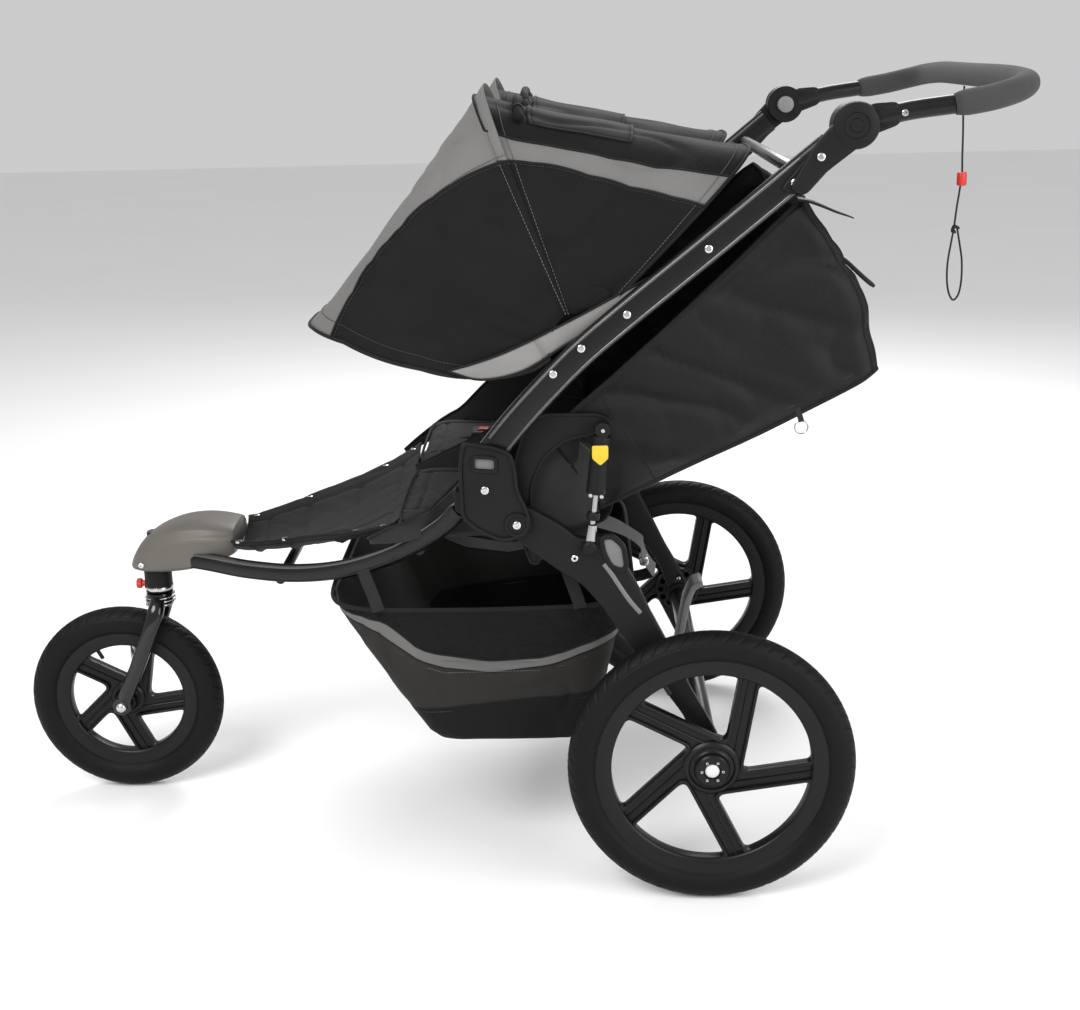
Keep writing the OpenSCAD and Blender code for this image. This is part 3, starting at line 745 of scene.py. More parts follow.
def fit_screws(name, points, right, radius, height, body, *nodes):
    hand_over(screw_row(name, points, ZINC, right, radius, height), body, "bright_metal", *nodes)

# %% [markdown]
# ## The wrist strap
# A thin black cord is looped round the middle of the handlebar. It hangs free, passes through
# a red cord lock, and ends in a hand loop that is closed by a knot. Its route repeats that of
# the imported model, and it hangs plumb because nothing but the bar holds it.

# %% Wrist strap cord and its lock
STRAP_ROUTE = [
    [-400, 0, 1112], [-400, 1, 1080], [-401, 2, 1045], [-402, 1, 1010], [-403, 0, 985],
    [-401, -1, 960], [-398, -1, 935], [-395, 0, 905], [-391, 2, 880], [-387, 5, 855],
    [-386, 8, 830], [-389, 10, 808], [-396, 11, 796], [-404, 10, 804], [-408, 8, 825],
    [-408, 5, 855], [-404, 3, 880], [-399, 2, 905],
]
strap_path = smooth_path(STRAP_ROUTE, 5)
strap = tube("wrist_strap_cord", strap_path, round_section(1.5, 1.5, 10), (0, 1, 0), WEBBING,
             sharp=0)
lock_body = rounded_bar("wrist_strap_lock", [-403, 0, 966.5], [-403, 0, 987.5], 7.4, RED_NYLON,
                        edge=2.5)
hand_over(lock_body, "handlebar", "red_plastic", "wrist_strap_slider")
knot_points = smooth_path([[-397, -3, 899], [-392, 3, 902], [-398, 5, 906], [-403, -2, 903],
                           [-396, -4, 907], [-392, 0, 899], [-398, 2, 897]], 5)
knot = tube("wrist_strap_knot", knot_points, round_section(1.7, 1.7, 8), (0.3, 0.2, 1), WEBBING,
            sharp=0)
hand_over(knot, "handlebar", "strap_black")
hand_over(strap, "handlebar", "strap_black", "wrist_strap")

# %% [markdown]
# ## Tyres
# A stroller tyre is a ring with a shallow tread: two grooves run round it, and slanting
# sipes cut the shoulders into blocks. The grooves are real dents in a dense ring of faces,
# because a bump alone would vanish at the tyre's outline.

# %% Tyre with a grooved tread


def tyre(name, node, around, pitch_count):
    low, high = node_box(node)
    centre = (low + high) / 2
    outer, half = (high[0] - low[0]) / 2, (high[1] - low[1]) / 2
    turn = np.concatenate([np.linspace(-75, 75, 52), np.linspace(83, 277, 26)])
    angles = np.arange(around) * math.tau / around
    v, a = np.meshgrid(turn, angles)
    phase = a * pitch_count / math.tau
    shoulder = np.clip((abs(v) - 9) / 46, 0, 1)
    wave = phase + 0.75 * shoulder ** 0.8 + np.where(v > 0, 0.0, 0.5)
    sipe = np.clip(1.5 - abs((wave % 1) - 0.5) * 13, 0, 1)
    sipe *= np.clip((abs(v) - 10) / 2, 0, 1) * np.clip((58 - abs(v)) / 3, 0, 1)
    small = np.clip(1.4 - abs(((phase * 2) % 1) - 0.5) * 8, 0, 1) * np.clip((6.5 - abs(v)) / 1.5, 0, 1)
    ring = np.clip(1 - abs(abs(v) - 8) / 2.2, 0, 1)
    band = np.clip(1 - abs(abs(v) - 64) / 2.5, 0, 1) * 0.5
    depth = 1.5 * np.maximum.reduce([sipe, ring, small * 0.7, band])
    flex = np.clip(1 - abs(abs(v) - 78) / 4, 0, 1) * 0.6
    r = half - depth - flex
    # The sides bulge a little less than a circle does, as an inflated tyre on a rim
    across = r * np.sin(np.radians(v))
    out = outer - half + r * np.cos(np.radians(v))
    points = np.stack([centre[0] + out * np.cos(a), centre[1] + across, centre[2] + out * np.sin(a)], 2)
    faces = ring_faces(around, len(turn), True, True)
    return piece(name, points.reshape(-1, 3), faces, TYRE_RUBBER, sharp=0, close=True)


for name, node, around, pitches, body in (
        ("front_tyre_tread", "front_tyre", 600, 46, "front_wheel"),
        ("rear_tyre_tread_left", "rear_tyre_left", 760, 60, "rear_wheel_left"),
        ("rear_tyre_tread_right", "rear_tyre_right", 760, 60, "rear_wheel_right")):
    hand_over(tyre(name, node, around, pitches), body, "tyre_rubber", node)
print("tyres made")

# %% [markdown]
# ## Five-spoked rims
# Each rim is one moulding. Its five spokes don't point at the hub but pass it on one side,
# like the blades of a pinwheel, and each is a thin web with a raised lip round every window.
# The windows come from geometry: two straight spoke edges, closed by an arc of the rim.

# %% One window between two spokes
SPOKES = 5
SPOKE_TURN = 100
SPOKE_HALF = 15
BRAKE_RING_R = 31


def spoke_axes(k):
    """The directions along spoke k and square to it."""
    t = math.radians(SPOKE_TURN - 360 / SPOKES * k)
    return np.array([math.cos(t), math.sin(t)]), np.array([-math.sin(t), math.cos(t)])


def window(k, hub_r, rim_r, grow, soft):
    """The outline of one opening, made larger by grow on every side."""
    ahead, beside = zip(spoke_axes(k), spoke_axes(k - 1))
    lift = [hub_r * 0.7 + SPOKE_HALF - grow, hub_r * 0.7 - SPOKE_HALF + grow]
    rim_r = rim_r + grow
    s = (lift[1] - lift[0] * beside[0] @ beside[1]) / (ahead[0] @ beside[1])
    corner = ahead[0] * s + beside[0] * lift[0]
    ends = [a * math.sqrt(rim_r ** 2 - h ** 2) + b * h for a, b, h in zip(ahead, beside, lift)]
    a0, a1 = (math.atan2(e[1], e[0]) for e in ends)
    if a1 < a0:
        a1 += math.tau
    arc = [rim_r * np.array([math.cos(a), math.sin(a)]) for a in np.linspace(a0, a1, 26)]
    return rounded([corner, arc[0], *arc[3:-3], arc[-1]], soft, 6)


def rim(tag, node, hub_r, hub_half, bore_r, right, brake_holes):
    low, high = node_box(node)
    centre = (low + high) / 2
    tyre_low, tyre_high = node_box(node.replace("rim", "tyre"))
    mid_y = abs(tyre_low[1] + tyre_high[1]) / 2
    centre = np.array([centre[0], mid_y, centre[2]])
    bed = (high[0] - low[0]) / 2
    rim_in = bed - 25
    base = centre[[0, 2]]
    holes = [window(k, hub_r, rim_in, 0, 14) for k in range(SPOKES)]
    web = [circle(bed - 6, 120), circle(bore_r * 1.6, 48), *holes]
    parts = [plate(tag + "_web", [o + base for o in web], centre[1] - 4, centre[1] + 4, RIM_NYLON, right,
                   edge=1)]
    for k in range(SPOKES):
        lip = window(k, hub_r, rim_in, 4.5, 17)
        parts.append(plate(tag + "_lip", [lip + base, holes[k] + base],
                           centre[1] - 9, centre[1] + 9, RIM_NYLON, right, edge=1.8))
    well = [(rim_in + 1, -10), (rim_in, -8), (rim_in, 8), (rim_in + 1, 10), (rim_in + 4, 11.8),
            (bed - 7, 13), (bed - 1, 13.4), (bed, 12.5), (bed, 9), (bed - 5, 3), (bed - 5, -3), (bed, -9),
            (bed, -12.5), (bed - 1, -13.4), (bed - 7, -13), (rim_in + 4, -11.8)]
    parts.append(lathe(tag + "_ring", well, centre, RIM_NYLON, right, 128, loop=True))
    core = hub_r * 0.6
    barrel = [(bore_r, -hub_half), (core - 2, -hub_half), (core, -hub_half + 2), (core, -9),
              (hub_r - 4, -9.5), (hub_r, -7), (hub_r, 7), (hub_r - 3, 9.5), (hub_r - 7, 9.8),
              (hub_r - 9, 7.5), (core + 5, 7.5), (core + 2, 9), (core, 12), (core, hub_half - 2),
              (core - 2, hub_half), (bore_r + 4, hub_half), (bore_r + 3, hub_half - 4),
              (bore_r, hub_half - 4)]
    parts.append(lathe(tag + "_hub", barrel, centre, RIM_NYLON, right, 72, loop=True))
    if brake_holes:
        pins = [circle(5, 16, (BRAKE_RING_R * math.cos(t), BRAKE_RING_R * math.sin(t)))
                for t in np.arange(12) * math.pi / 6]
        disc = [circle(40, 72), circle(bore_r + 1, 36), *pins]
        parts.append(plate(tag + "_brake_disc", [o + base for o in disc],
                           centre[1] - 23, centre[1] - 9, RIM_NYLON, right, edge=1))
    # Moulded ribs stand round the hub, one on the back of each spoke
    for k in range(SPOKES):
        ahead, beside = spoke_axes(k)
        start = base + ahead * core + beside * hub_r * 0.7
        end = base + ahead * (rim_in + 2) + beside * hub_r * 0.7
        path = [[*(start + (end - start) * s)] for s in np.linspace(0, 1, 6)]
        up = (0, 0.01, 1) if abs(ahead[1]) < 0.7 else (1, 0.01, 0)
        parts.append(tube(tag + "_rib", [[x, centre[1], z] for x, z in path],
                          round_section(7.2, 1.8, 12, 0.7), up, RIM_NYLON, right))
    # A tyre valve stands in one window
    t = math.radians(SPOKE_TURN - 38)
    out = np.array([math.cos(t), 0, math.sin(t)])
    parts.append(rounded_bar(tag + "_valve", centre + out * (rim_in - 17), centre + out * (rim_in + 2), 3.2,
                             RIM_NYLON, right, 0.8, 12))
    return joined(tag, parts)


for name, right in SIDES:
    hand_over(rim("rear_rim_moulding_" + name, "rear_rim_" + name, 40, 19.5, 8.1, right, True),
              "rear_wheel_" + name, "rim_black", "rear_rim_" + name)
hand_over(rim("front_rim_moulding", "front_rim", 28, 25.5, 5.1, False, False), "front_wheel",
          "rim_black", "front_rim")
print("rims made")

# %% [markdown]
# ## Hub details
# Each rear hub shows a pale axle cap in a dark recess, with a ring of small plated screws. The
# front wheel turns on a skewer with a domed nut on one side and a cam lever on the other.

# %% Rear axle, caps and hub screws
wheel_y = float(sum(node_box("rear_tyre_left"))[1]) / 2
REAR_R, FRONT_R = (float(node_box(n)[1][2]) / 2 for n in ("rear_tyre_left", "front_tyre"))
WHEELBASE = float(sum(node_box("front_tyre"))[0]) / 2
axle_parts = [cross_bar("axle_tube", [0, REAR_R], -317.5, 317.5, 14.8, BLACK_FRAME)]
for name, right in SIDES:
    axle_parts.append(cross_bar("stub", [0, REAR_R], 316, wheel_y + 17, 7.9, STEEL, right))
    axle_parts.append(lathe("cap", [(0.01, 17.2), (9, 17.2), (10.2, 16.4), (10.4, 15.4), (7, 15.2),
        (0.01, 15.2)][::-1],
                            [0, wheel_y, REAR_R], PALE_NYLON, right, 40))
    axle_parts.append(lathe("cap_dome", [(0.01, 2.2), (5, 2.1), (8.6, 1.4), (10, 0), (10.2, -2.4),
        (0.01, -2.4)][::-1],
                            [0, wheel_y + 17.4, REAR_R], PALE_NYLON, right, 40))
for y in (-34, 28):
    axle_parts.append(plate("pedal_lug", [rounded([[4, 195], [34, 199], [37, 214], [30, 222], [6, 219]],
        5)],
                            y, y + 6, BLACK_FRAME))
rear_axle = joined("rear_axle_tube", axle_parts)
hand_over(rear_axle, "rear_arm", "black_frame", "rear_axle")
for name, right in SIDES:
    ring = [[15 * math.cos(a), wheel_y + 19.4, REAR_R + 15 * math.sin(a)]
            for a in np.arange(6) * math.tau / 6]
    fit_screws("hub_screws_" + name, ring, right, 0.0022, 0.0014, "rear_wheel_" + name)

# %% Front skewer and its cam lever
skewer = [cross_bar("skewer", [WHEELBASE, FRONT_R], -47, 51, 4.6, ZINC),
          lathe("nut", [(0.01, 52), (3, 52), (6.5, 50.5), (8.6, 48), (9, 44.3), (4, 44.3),
              (0.01, 44.3)][::-1],
                [WHEELBASE, 0, FRONT_R], ZINC, count=40),
          plate("cam_tongue", [rounded(oblong(WHEELBASE - 6, FRONT_R - 6, WHEELBASE + 6, FRONT_R + 6), 3)],
                -60, -47, ZINC, edge=1)]
hand_over(joined("front_skewer", skewer), "fork", "bright_metal", "front_axle")
lever = [rounded_bar("cam", [WHEELBASE - 7.6, -56, FRONT_R], [WHEELBASE + 7.6, -56, FRONT_R], 6.9, ZINC,
    edge=1.2),
         tube("lever_arm", [[WHEELBASE, -57, FRONT_R + 4], [WHEELBASE, -57.5, FRONT_R + 20],
                            [WHEELBASE, -57, FRONT_R + 40], [WHEELBASE, -56.6, FRONT_R + 58],
                            [WHEELBASE, -56.6, FRONT_R + 70], [WHEELBASE, -56.6, FRONT_R + 73.5]],
              round_section(7.4, 2.8, 20, 0.7), (0, 1, 0), ZINC,
              sizes=[0.7, 0.8, 1.0, 1.05, 0.95, 0.5])]
hand_over(joined("front_cam_lever", lever), "qr_lever", "bright_metal", "qr_lever")

# %% [markdown]
# ## Fork, spring and steering lock
# The fork is one glossy black forging: a crown, two blades that sweep forward, and an eye on
# each for the skewer. A flat coil of plated wire sits under the head, and a red knob locks
# the steering straight.

# %% Fork
STEER_X = 866
EYE_PLACE = (WHEELBASE, FRONT_R)
fork_parts = [
    lathe("steerer", [(11.8, 321), (11.9, 444), (10.5, 446), (0.01, 446), (0.01, 321)][::-1],
        [STEER_X, 0, 0],
          GLOSS_BLACK, axis="z", count=48),
    lathe("crown", [(0.01, 317), (14, 317.2), (19, 319), (21.5, 323), (22, 330), (22, 340), (21, 342.6),
                    (18, 343), (0.01, 343)], [STEER_X, 0, 0], GLOSS_BLACK, axis="z", count=48),
]
BLADE = smooth_path([[866, 17, 333], [867, 29, 320], [874, 35.5, 298], [889, 37, 262], [904, 37, 226],
                     [918, 37, 196], [929, 37, 172], [934, 37, 158]], 5)
blade_sizes = np.interp(np.arange(len(BLADE)), [0, 6, 14, 28, len(BLADE) - 1], [1.0, 1.15, 1.1, 1.0, 0.8])
for name, right in SIDES:
    fork_parts.append(tube("blade", BLADE, round_section(8.6, 11.6, 28, 0.9), (1, 0, 0.3), GLOSS_BLACK,
                           right, blade_sizes))
    fork_parts.append(plate("eye", [circle(15.5, 48, EYE_PLACE), circle(5.2, 24, EYE_PLACE)], 31.5, 43.5,
        GLOSS_BLACK, right, 2))
hand_over(joined("fork_forging", fork_parts), "fork", "gloss_black", "fork")

# %% Coil under the head, and the lock knob
coil = [[STEER_X + 23.2 * math.cos(a), 23.2 * math.sin(a), 323 + 17.5 * a / (3 * math.tau)]
        for a in np.linspace(0, 3 * math.tau, 150)]
spring = tube("steering_coil", coil, round_section(1.25, 1.25, 10), (0, 0, 1), ZINC)
hand_over(spring, "fork", "bright_metal", "steering_spring")
knob_profile = [(0.01, 0), (4.7, 0), (4.8, 13.6), (6.6, 14.2), (7.8, 15.2), (7.9, 20.5), (7.2, 22.3),
    (5, 22.8), (0.01, 22.4)]
turn = even_turns(60)
rings = []
for r, along in knob_profile:
    fluted = r * (1 + 0.05 * np.cos(turn * 10) * (along > 14))
    rings.append(np.stack([turn * 0 + 879 + along, fluted * np.cos(turn), 357 + fluted * np.sin(turn)], 1))
hand_over(skin("steering_lock_knob", rings, RED_NYLON), "swivel_lock", "red_plastic", "swivel_lock_knob")

# %% [markdown]
# ## Nose
# The head casting hides under a grey-brown cover shaped like a low shoe: round in front, with
# a crease that runs back along each side and a soft hollow on top. It is lofted from cross
# sections taken at steps along its length, so that every section can have its own shoulder.

# %% Nose cover
# Along: distance forward. Then top, bottom, half width, how round the shoulder is
NOSE = [(727, 462, 419, 54, 0.62), (736, 464.5, 414, 58, 0.6), (760, 469, 404, 61, 0.58),
        (785, 471, 396, 60, 0.58), (815, 468.5, 390, 56, 0.6), (845, 459, 387, 50.5, 0.64),
        (868, 446, 386, 44, 0.7), (885, 430, 386.5, 36, 0.78), (897, 412, 388, 26, 0.86),
        (903, 399, 391, 14, 0.95)]
nose_rows = smooth_path(NOSE, 4)
nose_rings = []
for x, top, low, half, power in nose_rows:
    ring = []
    for a in np.arange(64) * math.tau / 64:
        c, s = math.cos(a), math.sin(a)
        y = half * np.sign(c) * abs(c) ** power
        middle = low + (top - low) * 0.3
        rise, drop = (top - middle) * abs(s) ** (power * 1.15), (middle - low) * abs(s) ** 0.4
        z = middle + rise if s > 0 else middle - drop
        crease = math.exp(-((a - 0.62) / 0.09) ** 2) + math.exp(-((math.pi - a - 0.62) / 0.09) ** 2)
        ring.append([x, y * (1 - 0.035 * crease), z - 1.6 * crease])
    nose_rings.append(ring)
cover = skin("nose_cover_moulding", nose_rings, NOSE_NYLON, sharp=0)
hand_over(cover, "frame", "nose_plastic", "nose_cover")
casting = [lathe("head", [(12.3, 345.5), (20.5, 345.5), (22, 347), (22, 385), (22, 388), (12.3, 388)],
                 [STEER_X, 0, 0], BLACK_NYLON, axis="z", count=56, loop=True),
           lathe("head_collar", [(12.3, 349), (22.6, 349), (23.3, 350.5), (23.3, 353), (22.6, 354.5),
               (12.3, 354.5)],
                 [STEER_X, 0, 0], ZINC, axis="z", count=56, loop=True)]
hand_over(joined("head_casting", casting), "frame", "black_plastic", "nose_casting")
for name, right in SIDES:
    fit_screws("nose_screws_" + name, [[880, 41.5, 401]], right, 0.0045, 0.002, "frame")

# %% [markdown]
# ## Lower rails
# Two rails leave the nose and bow outwards and up to the side plates. Each is an extrusion
# with a D-shaped section: a rounded outer face under a raised lip. The lip is coloured a
# lighter grey as a painted highlight, where it would catch the light; a smaller lip below it
# stays black. A section is swept along the rail, and the lip is a second, thinner sweep above it.

# %% Lower rails and cross tubes
RAIL = smooth_path([[812, 36, 412], [760, 62, 412], [690, 106, 414], [607, 150, 422], [522, 200, 446],
                    [439, 262, 490], [375, 310, 540], [343, 332, 575]], 8)
D_SECTION = np.array([[13.6 * math.cos(a) * (1 if math.cos(a) > 0 else 0.72),
                       13.9 * np.sign(math.sin(a)) * abs(math.sin(a)) ** 0.62]
                      for a in np.arange(36) * math.tau / 36])
for name, right in SIDES:
    body = tube("rail", RAIL, D_SECTION * [-1, 1], (0, 0, 1), BLACK_FRAME, right)
    side = beside_path(RAIL, (0, 0, 1))
    # The upper lip carries the painted highlight in lighter grey; the lower lip stays black
    lip = tube("lip", RAIL - side * 6.5 + [0, 0, 11.2], round_section(5.6, 2.4, 16, 0.7), (0, 0, 1),
        RAIL_HIGHLIGHT, right)
    low_lip = tube("low_lip", RAIL - side * 8.5 - [0, 0, 9.6], round_section(4.2, 2.0, 16, 0.7), (0, 0, 1),
        BLACK_FRAME, right)
    rail = joined("lower_rail_tube_" + name, [body, lip, low_lip])
    hand_over(rail, "frame", "black_frame", "lower_rail_" + name)
cross = [cross_bar("rear_cross", [408, 501], -286, 286, 8.9, BLACK_FRAME),
         cross_bar("front_cross", [640, 406], -134, 134, 7.9, BLACK_FRAME)]
hand_over(joined("cross_tubes", cross), "frame", "black_frame", "frame_cross_tubes")

# %% [markdown]
# ## Side plates
# A moulded plate on each side joins the lower rail, the folding upper rail and the swing arm.
# It has a raised border, a recessed catch window, and a round boss with its own rim over the
# swing-arm pivot.

# %% Side plates with their bosses
ARM_PIVOT, FOLD_PIVOT = (265, 556), (300, 640)
SIDE_PLATE = [[336, 676], [290, 667], [269, 658], [263, 633], [262, 605], [250, 580], [245, 558],
              [254, 541], [272, 533], [290, 533], [320, 548], [341, 566], [342, 640]]


def shrunk(outline, by):
    """The outline moved inwards by that much along its own normals."""
    p = np.asarray(outline, float)
    ahead = np.roll(p, -1, 0) - np.roll(p, 1, 0)
    ahead /= np.linalg.norm(ahead, axis=1)[:, None]
    normal = np.stack([-ahead[:, 1], ahead[:, 0]], 1)
    area = 0.5 * np.sum(p[:, 0] * np.roll(p[:, 1], -1) - np.roll(p[:, 0], -1) * p[:, 1])
    return p + normal * by * np.sign(area)


for name, right in SIDES:
    outer = rounded(SIDE_PLATE, 12, 6)
    inner = shrunk(outer, 5)
    slot = rounded([[293, 634], [320, 636], [320, 651], [293, 649]], 4)
    parts = [plate("plate", [outer, shrunk(slot, -1)], 346.5, 352, BLACK_NYLON, right, 1),
             plate("border", [outer, inner], 347, 355.3, BLACK_NYLON, right, 1.6),
             plate("window_frame", [shrunk(slot, -4.5), slot], 347, 354.8, BLACK_NYLON, right, 1),
             plate("catch", [slot], 346.8, 350.5, GREY_NYLON, right, 0.8),
             lathe("boss", [(0.01, 346.5), (17, 346.5), (17.5, 350), (17.5, 354), (16.5, 355.4),
                 (13, 355.4), (12, 353.5),
                            (0.01, 353.5)], on_axis(ARM_PIVOT), BLACK_NYLON, right),
             cross_bar("arm_pin", ARM_PIVOT, 313.5, 347, 7.9, STEEL, right),
             cross_bar("fold_pin", FOLD_PIVOT, 320.5, 347, 7.9, STEEL, right),
             plate("foot", [rounded([[326, 560], [349, 575], [351, 604], [330, 600]], 5)], 322, 347,
                   BLACK_NYLON, right, 2)]
    hand_over(joined("side_plate_moulding_" + name, parts), "frame", "black_plastic", "side_plate_" + name)
    fit_screws("frame_screw_heads_" + name, [[307, 353.2, 606], [265, 354.6, 556]], right, 0.0055, 0.0024,
        "frame", *(["frame_screws"] if not right else []))

# %% [markdown]
# ## Swing arms
# Each rear wheel hangs on a broad flat arm that narrows towards the axle. It is a plate with
# rounded edges, a raised rib along both sides, a bright strip let into its rear edge and an
# end cap where the shock absorber stands on it.

# %% Swing arms
BRAKE_PIN_PLACE = (0, REAR_R + BRAKE_RING_R)
SWING_ARM = [[276, 574], [252, 579], [206, 552], [181, 530], [150, 534], [134, 533], [119, 519],
             [115, 488], [97, 454], [84, 424], [56, 368], [24, 300], [-6, 246], [-20, 214], [-18, 192],
             [18, 192], [20, 214], [36, 262], [70, 312], [110, 366], [150, 430], [179, 465],
             [213, 487], [256, 521], [279, 540]]
for name, right in SIDES:
    outer = rounded(SWING_ARM, 10, 5)
    holes = [circle(8.2, 32, ARM_PIVOT), circle(8.2, 32, (0, REAR_R)), circle(4.3, 24, BRAKE_PIN_PLACE)]
    rib_line = smooth_path([[236, 339, 540], [197, 339, 514], [158, 339, 478], [128, 339, 430],
        [98, 339, 380],
                            [62, 339, 326], [28, 339, 276]], 5)
    end_cap = rounded([[146, 537], [133, 537], [116, 521], [112, 489], [120, 480], [139, 486], [150, 508],
        [154, 530]], 9)
    dent = shrunk(end_cap, 7)
    strip = smooth_path([[147, 342.5, 494], [137, 342.5, 480], [126, 342.5, 462], [112, 342.5, 440],
        [97, 342.5, 421]], 5)
    parts = [plate("arm", [outer, *holes], 323.5, 341.8, BLACK_NYLON, right, 4),
             tube("rib", rib_line, round_section(17, 3.4, 20, 0.8), (0, 1, 0), BLACK_NYLON, right,
                  sizes=np.interp(np.arange(31), [0, 6, 18, 30], [0.7, 1.2, 1.0, 0.6])),
             tube("strip", strip, round_section(3.2, 1.3, 12), (0, 1, 0), GREY_NYLON, right),
             plate("end_cap", [end_cap, dent], 336, 344.6, BLACK_NYLON, right, 1.6),
             plate("end_cap_floor", [shrunk(end_cap, 5)], 337, 341.9, GREY_NYLON, right, 0.6),
             lathe("hub", [(8.1, 318.6), (20.5, 318.6), (21.8, 320), (21.8, 342), (20.5, 344), (8.1, 344)],
                   [0, 0, REAR_R], BLACK_NYLON, right, loop=True),
             lathe("pivot", [(8.1, 333), (21, 333), (22, 334.5), (22, 343.5), (21, 345), (8.1, 345)],
                   on_axis(ARM_PIVOT), BLACK_NYLON, right, loop=True)]
    hand_over(joined("swing_arm_moulding_" + name, parts), "rear_arm", "black_plastic", "swing_arm_" + name)
    fit_screws("arm_screw_heads_" + name, [[187, 342.4, 503]], right, 0.0048, 0.0022, "rear_arm")

# %% [markdown]
# ## Shock absorbers
# A short damper stands on each swing arm. Its body is a turned sleeve with an end collar and
# two small rivets, and below it come a bright rod, a bump stop and a clevis with its knob. A
# plain yellow plate is set into the sleeve.

# %% Shock bodies, rods and carrier
SHOCK_TOP, SHOCK_FOOT = np.array([146.0, 687.0]), np.array([166.0, 520.0])


def on_shock(f, y=343.0):
    x, z = SHOCK_TOP + (SHOCK_FOOT - SHOCK_TOP) * f
    return np.array([x, y, z])


def shock_rings(stops):
    t = unit(on_shock(1) - on_shock(0))
    u = np.array([0, 1, 0])
    v = np.cross(t, u)
    return [[on_shock(f) + r * (a * u + b * v) for a, b in round_section(1, 1, 40)] for f, r in stops]


SLEEVE = [(0.055, 9), (0.06, 12.6), (0.075, 13.3), (0.13, 13.3), (0.135, 12.2), (0.15, 12.2),
          (0.155, 13.1), (0.49, 13.1), (0.5, 13.4), (0.53, 13.4), (0.54, 12.5), (0.54, 5.2)]
for name, right in SIDES:
    parts = [skin("sleeve", shock_rings(SLEEVE), BLACK_NYLON, right),
             cross_bar("eye", SHOCK_TOP, 333, 356, 10.8, BLACK_NYLON, right, 2)]
    plate_middle = on_shock(0.2, 343 + 13.2)
    plate_outline = rounded([[-11, 13], [11, 13], [11, -5], [0, -15], [-11, -5]], 3) + plate_middle[[0, 2]]
    parts.append(plate("plain_plate", [plate_outline], 354.6, 357.6, YELLOW_NYLON, right, 0.9))
    hand_over(joined("shock_sleeve_" + name, parts), "shock_carrier", "shock_black", "shock_body_" + name)
    fit_screws("shock_rivets_" + name, [[149, 356.0, 595], [164, 356.0, 597], [146, 357, 687]], right,
        0.0028, 0.0016, "shock_carrier")
rods = []
for name, right in SIDES:
    rods += [skin("rod", shock_rings([(0.5, 3.9), (1.0, 3.9)]), STEEL, right),
             skin("stop", shock_rings([(0.7, 4), (0.705, 8.2), (0.72, 9.2), (0.75, 9.2), (0.765, 8.2),
                 (0.77, 4)]), BLACK_NYLON, right),
             skin("clevis", shock_rings([(0.8, 4), (0.81, 6.8), (0.92, 7.6), (0.98, 7.6)]), STEEL, right),
             lathe("foot_knob", [(0.01, 336.5), (9.5, 336.5), (10.4, 338), (10.4, 350), (9.6, 353.5),
                 (7, 355.6), (0.01, 356)],
                   on_axis(SHOCK_FOOT), BLACK_NYLON, right)]
hand_over(joined("shock_rods_and_feet", rods), "rear_arm", "shock_steel", "shock_rods")
GUSSET = [[281, 556], [268, 640], [254, 684], [230, 704], [150, 702], [132, 692], [134, 676], [160, 671],
    [196, 664],
          [226, 640], [243, 604], [246, 560], [234, 500], [236, 486], [250, 487], [264, 530]]
carrier = [cross_bar("carrier_bar", [238, 499], -314, 314, 8.9, BLACK_FRAME)]
for name, right in SIDES:
    hole = circle(8.3, 32, ARM_PIVOT)
    outline = rounded(GUSSET, 12, 6)
    carrier += [plate("gusset", [outline, hole], 313.6, 317.4, BLACK_NYLON, right, 0.8),
                plate("gusset_edge", [outline, shrunk(outline, 4)], 313.6, 319.2, BLACK_NYLON, right, 0.8),
                lathe("gusset_pivot", [(8.2, 314), (14, 314), (15, 315), (15, 331), (14, 332), (8.2, 332)],
                      on_axis(ARM_PIVOT), BLACK_NYLON, right, loop=True),
                cross_bar("top_pin", SHOCK_TOP, 314, 333, 4.9, STEEL, right, 0.8)]
hand_over(joined("shock_carrier_plates", carrier), "shock_carrier", "black_plastic", "shock_carrier")

# %% [markdown]
# ## Parking brake
# The pedal is a grey bent lever over the axle. Pressed down, it drives a pin into the ring of
# holes on each rear hub. Its tread has raised bars for the shoe.

# %% Brake pedal and pins
PEDAL_PIVOT = (26, 214)
PEDAL = [[22, 220], [32, 218], [24, 262], [14, 318], [2, 346], [-14, 352], [-18, 344], [-4, 336], [4, 312],
    [14, 262]]
parts = [cross_bar("pedal_pin", PEDAL_PIVOT, -40, 40, 3.9, STEEL, edge=0.8),
         cross_bar("pedal_barrel", PEDAL_PIVOT, -27, 27, 7.8, GREY_NYLON),
         plate("pedal_arm", [rounded(PEDAL, 5)], -23, 23, GREY_NYLON, edge=2)]
for step in range(5):
    f = step / 4
    x, z = 20 - 22 * f ** 1.3, 262 + 74 * f
    parts.append(cross_bar("pedal_tread", (x + 1.5, z), -18, 18, 2.1, BLACK_NYLON, edge=0.8))
hand_over(joined("brake_pedal_moulding", parts), "brake_pedal", "pedal_grey", "brake_pedal")
for name, right in SIDES:
    low, high = (np.abs(c[1]) for c in node_box("brake_pin_" + name))
    pin = cross_bar("brake_pin_turned_" + name, BRAKE_PIN_PLACE, min(low, high), max(low, high), 3.95,
        STEEL, right, 0.8)
    hand_over(pin, "brake_pin_" + name, "shock_steel", "brake_pin_" + name)
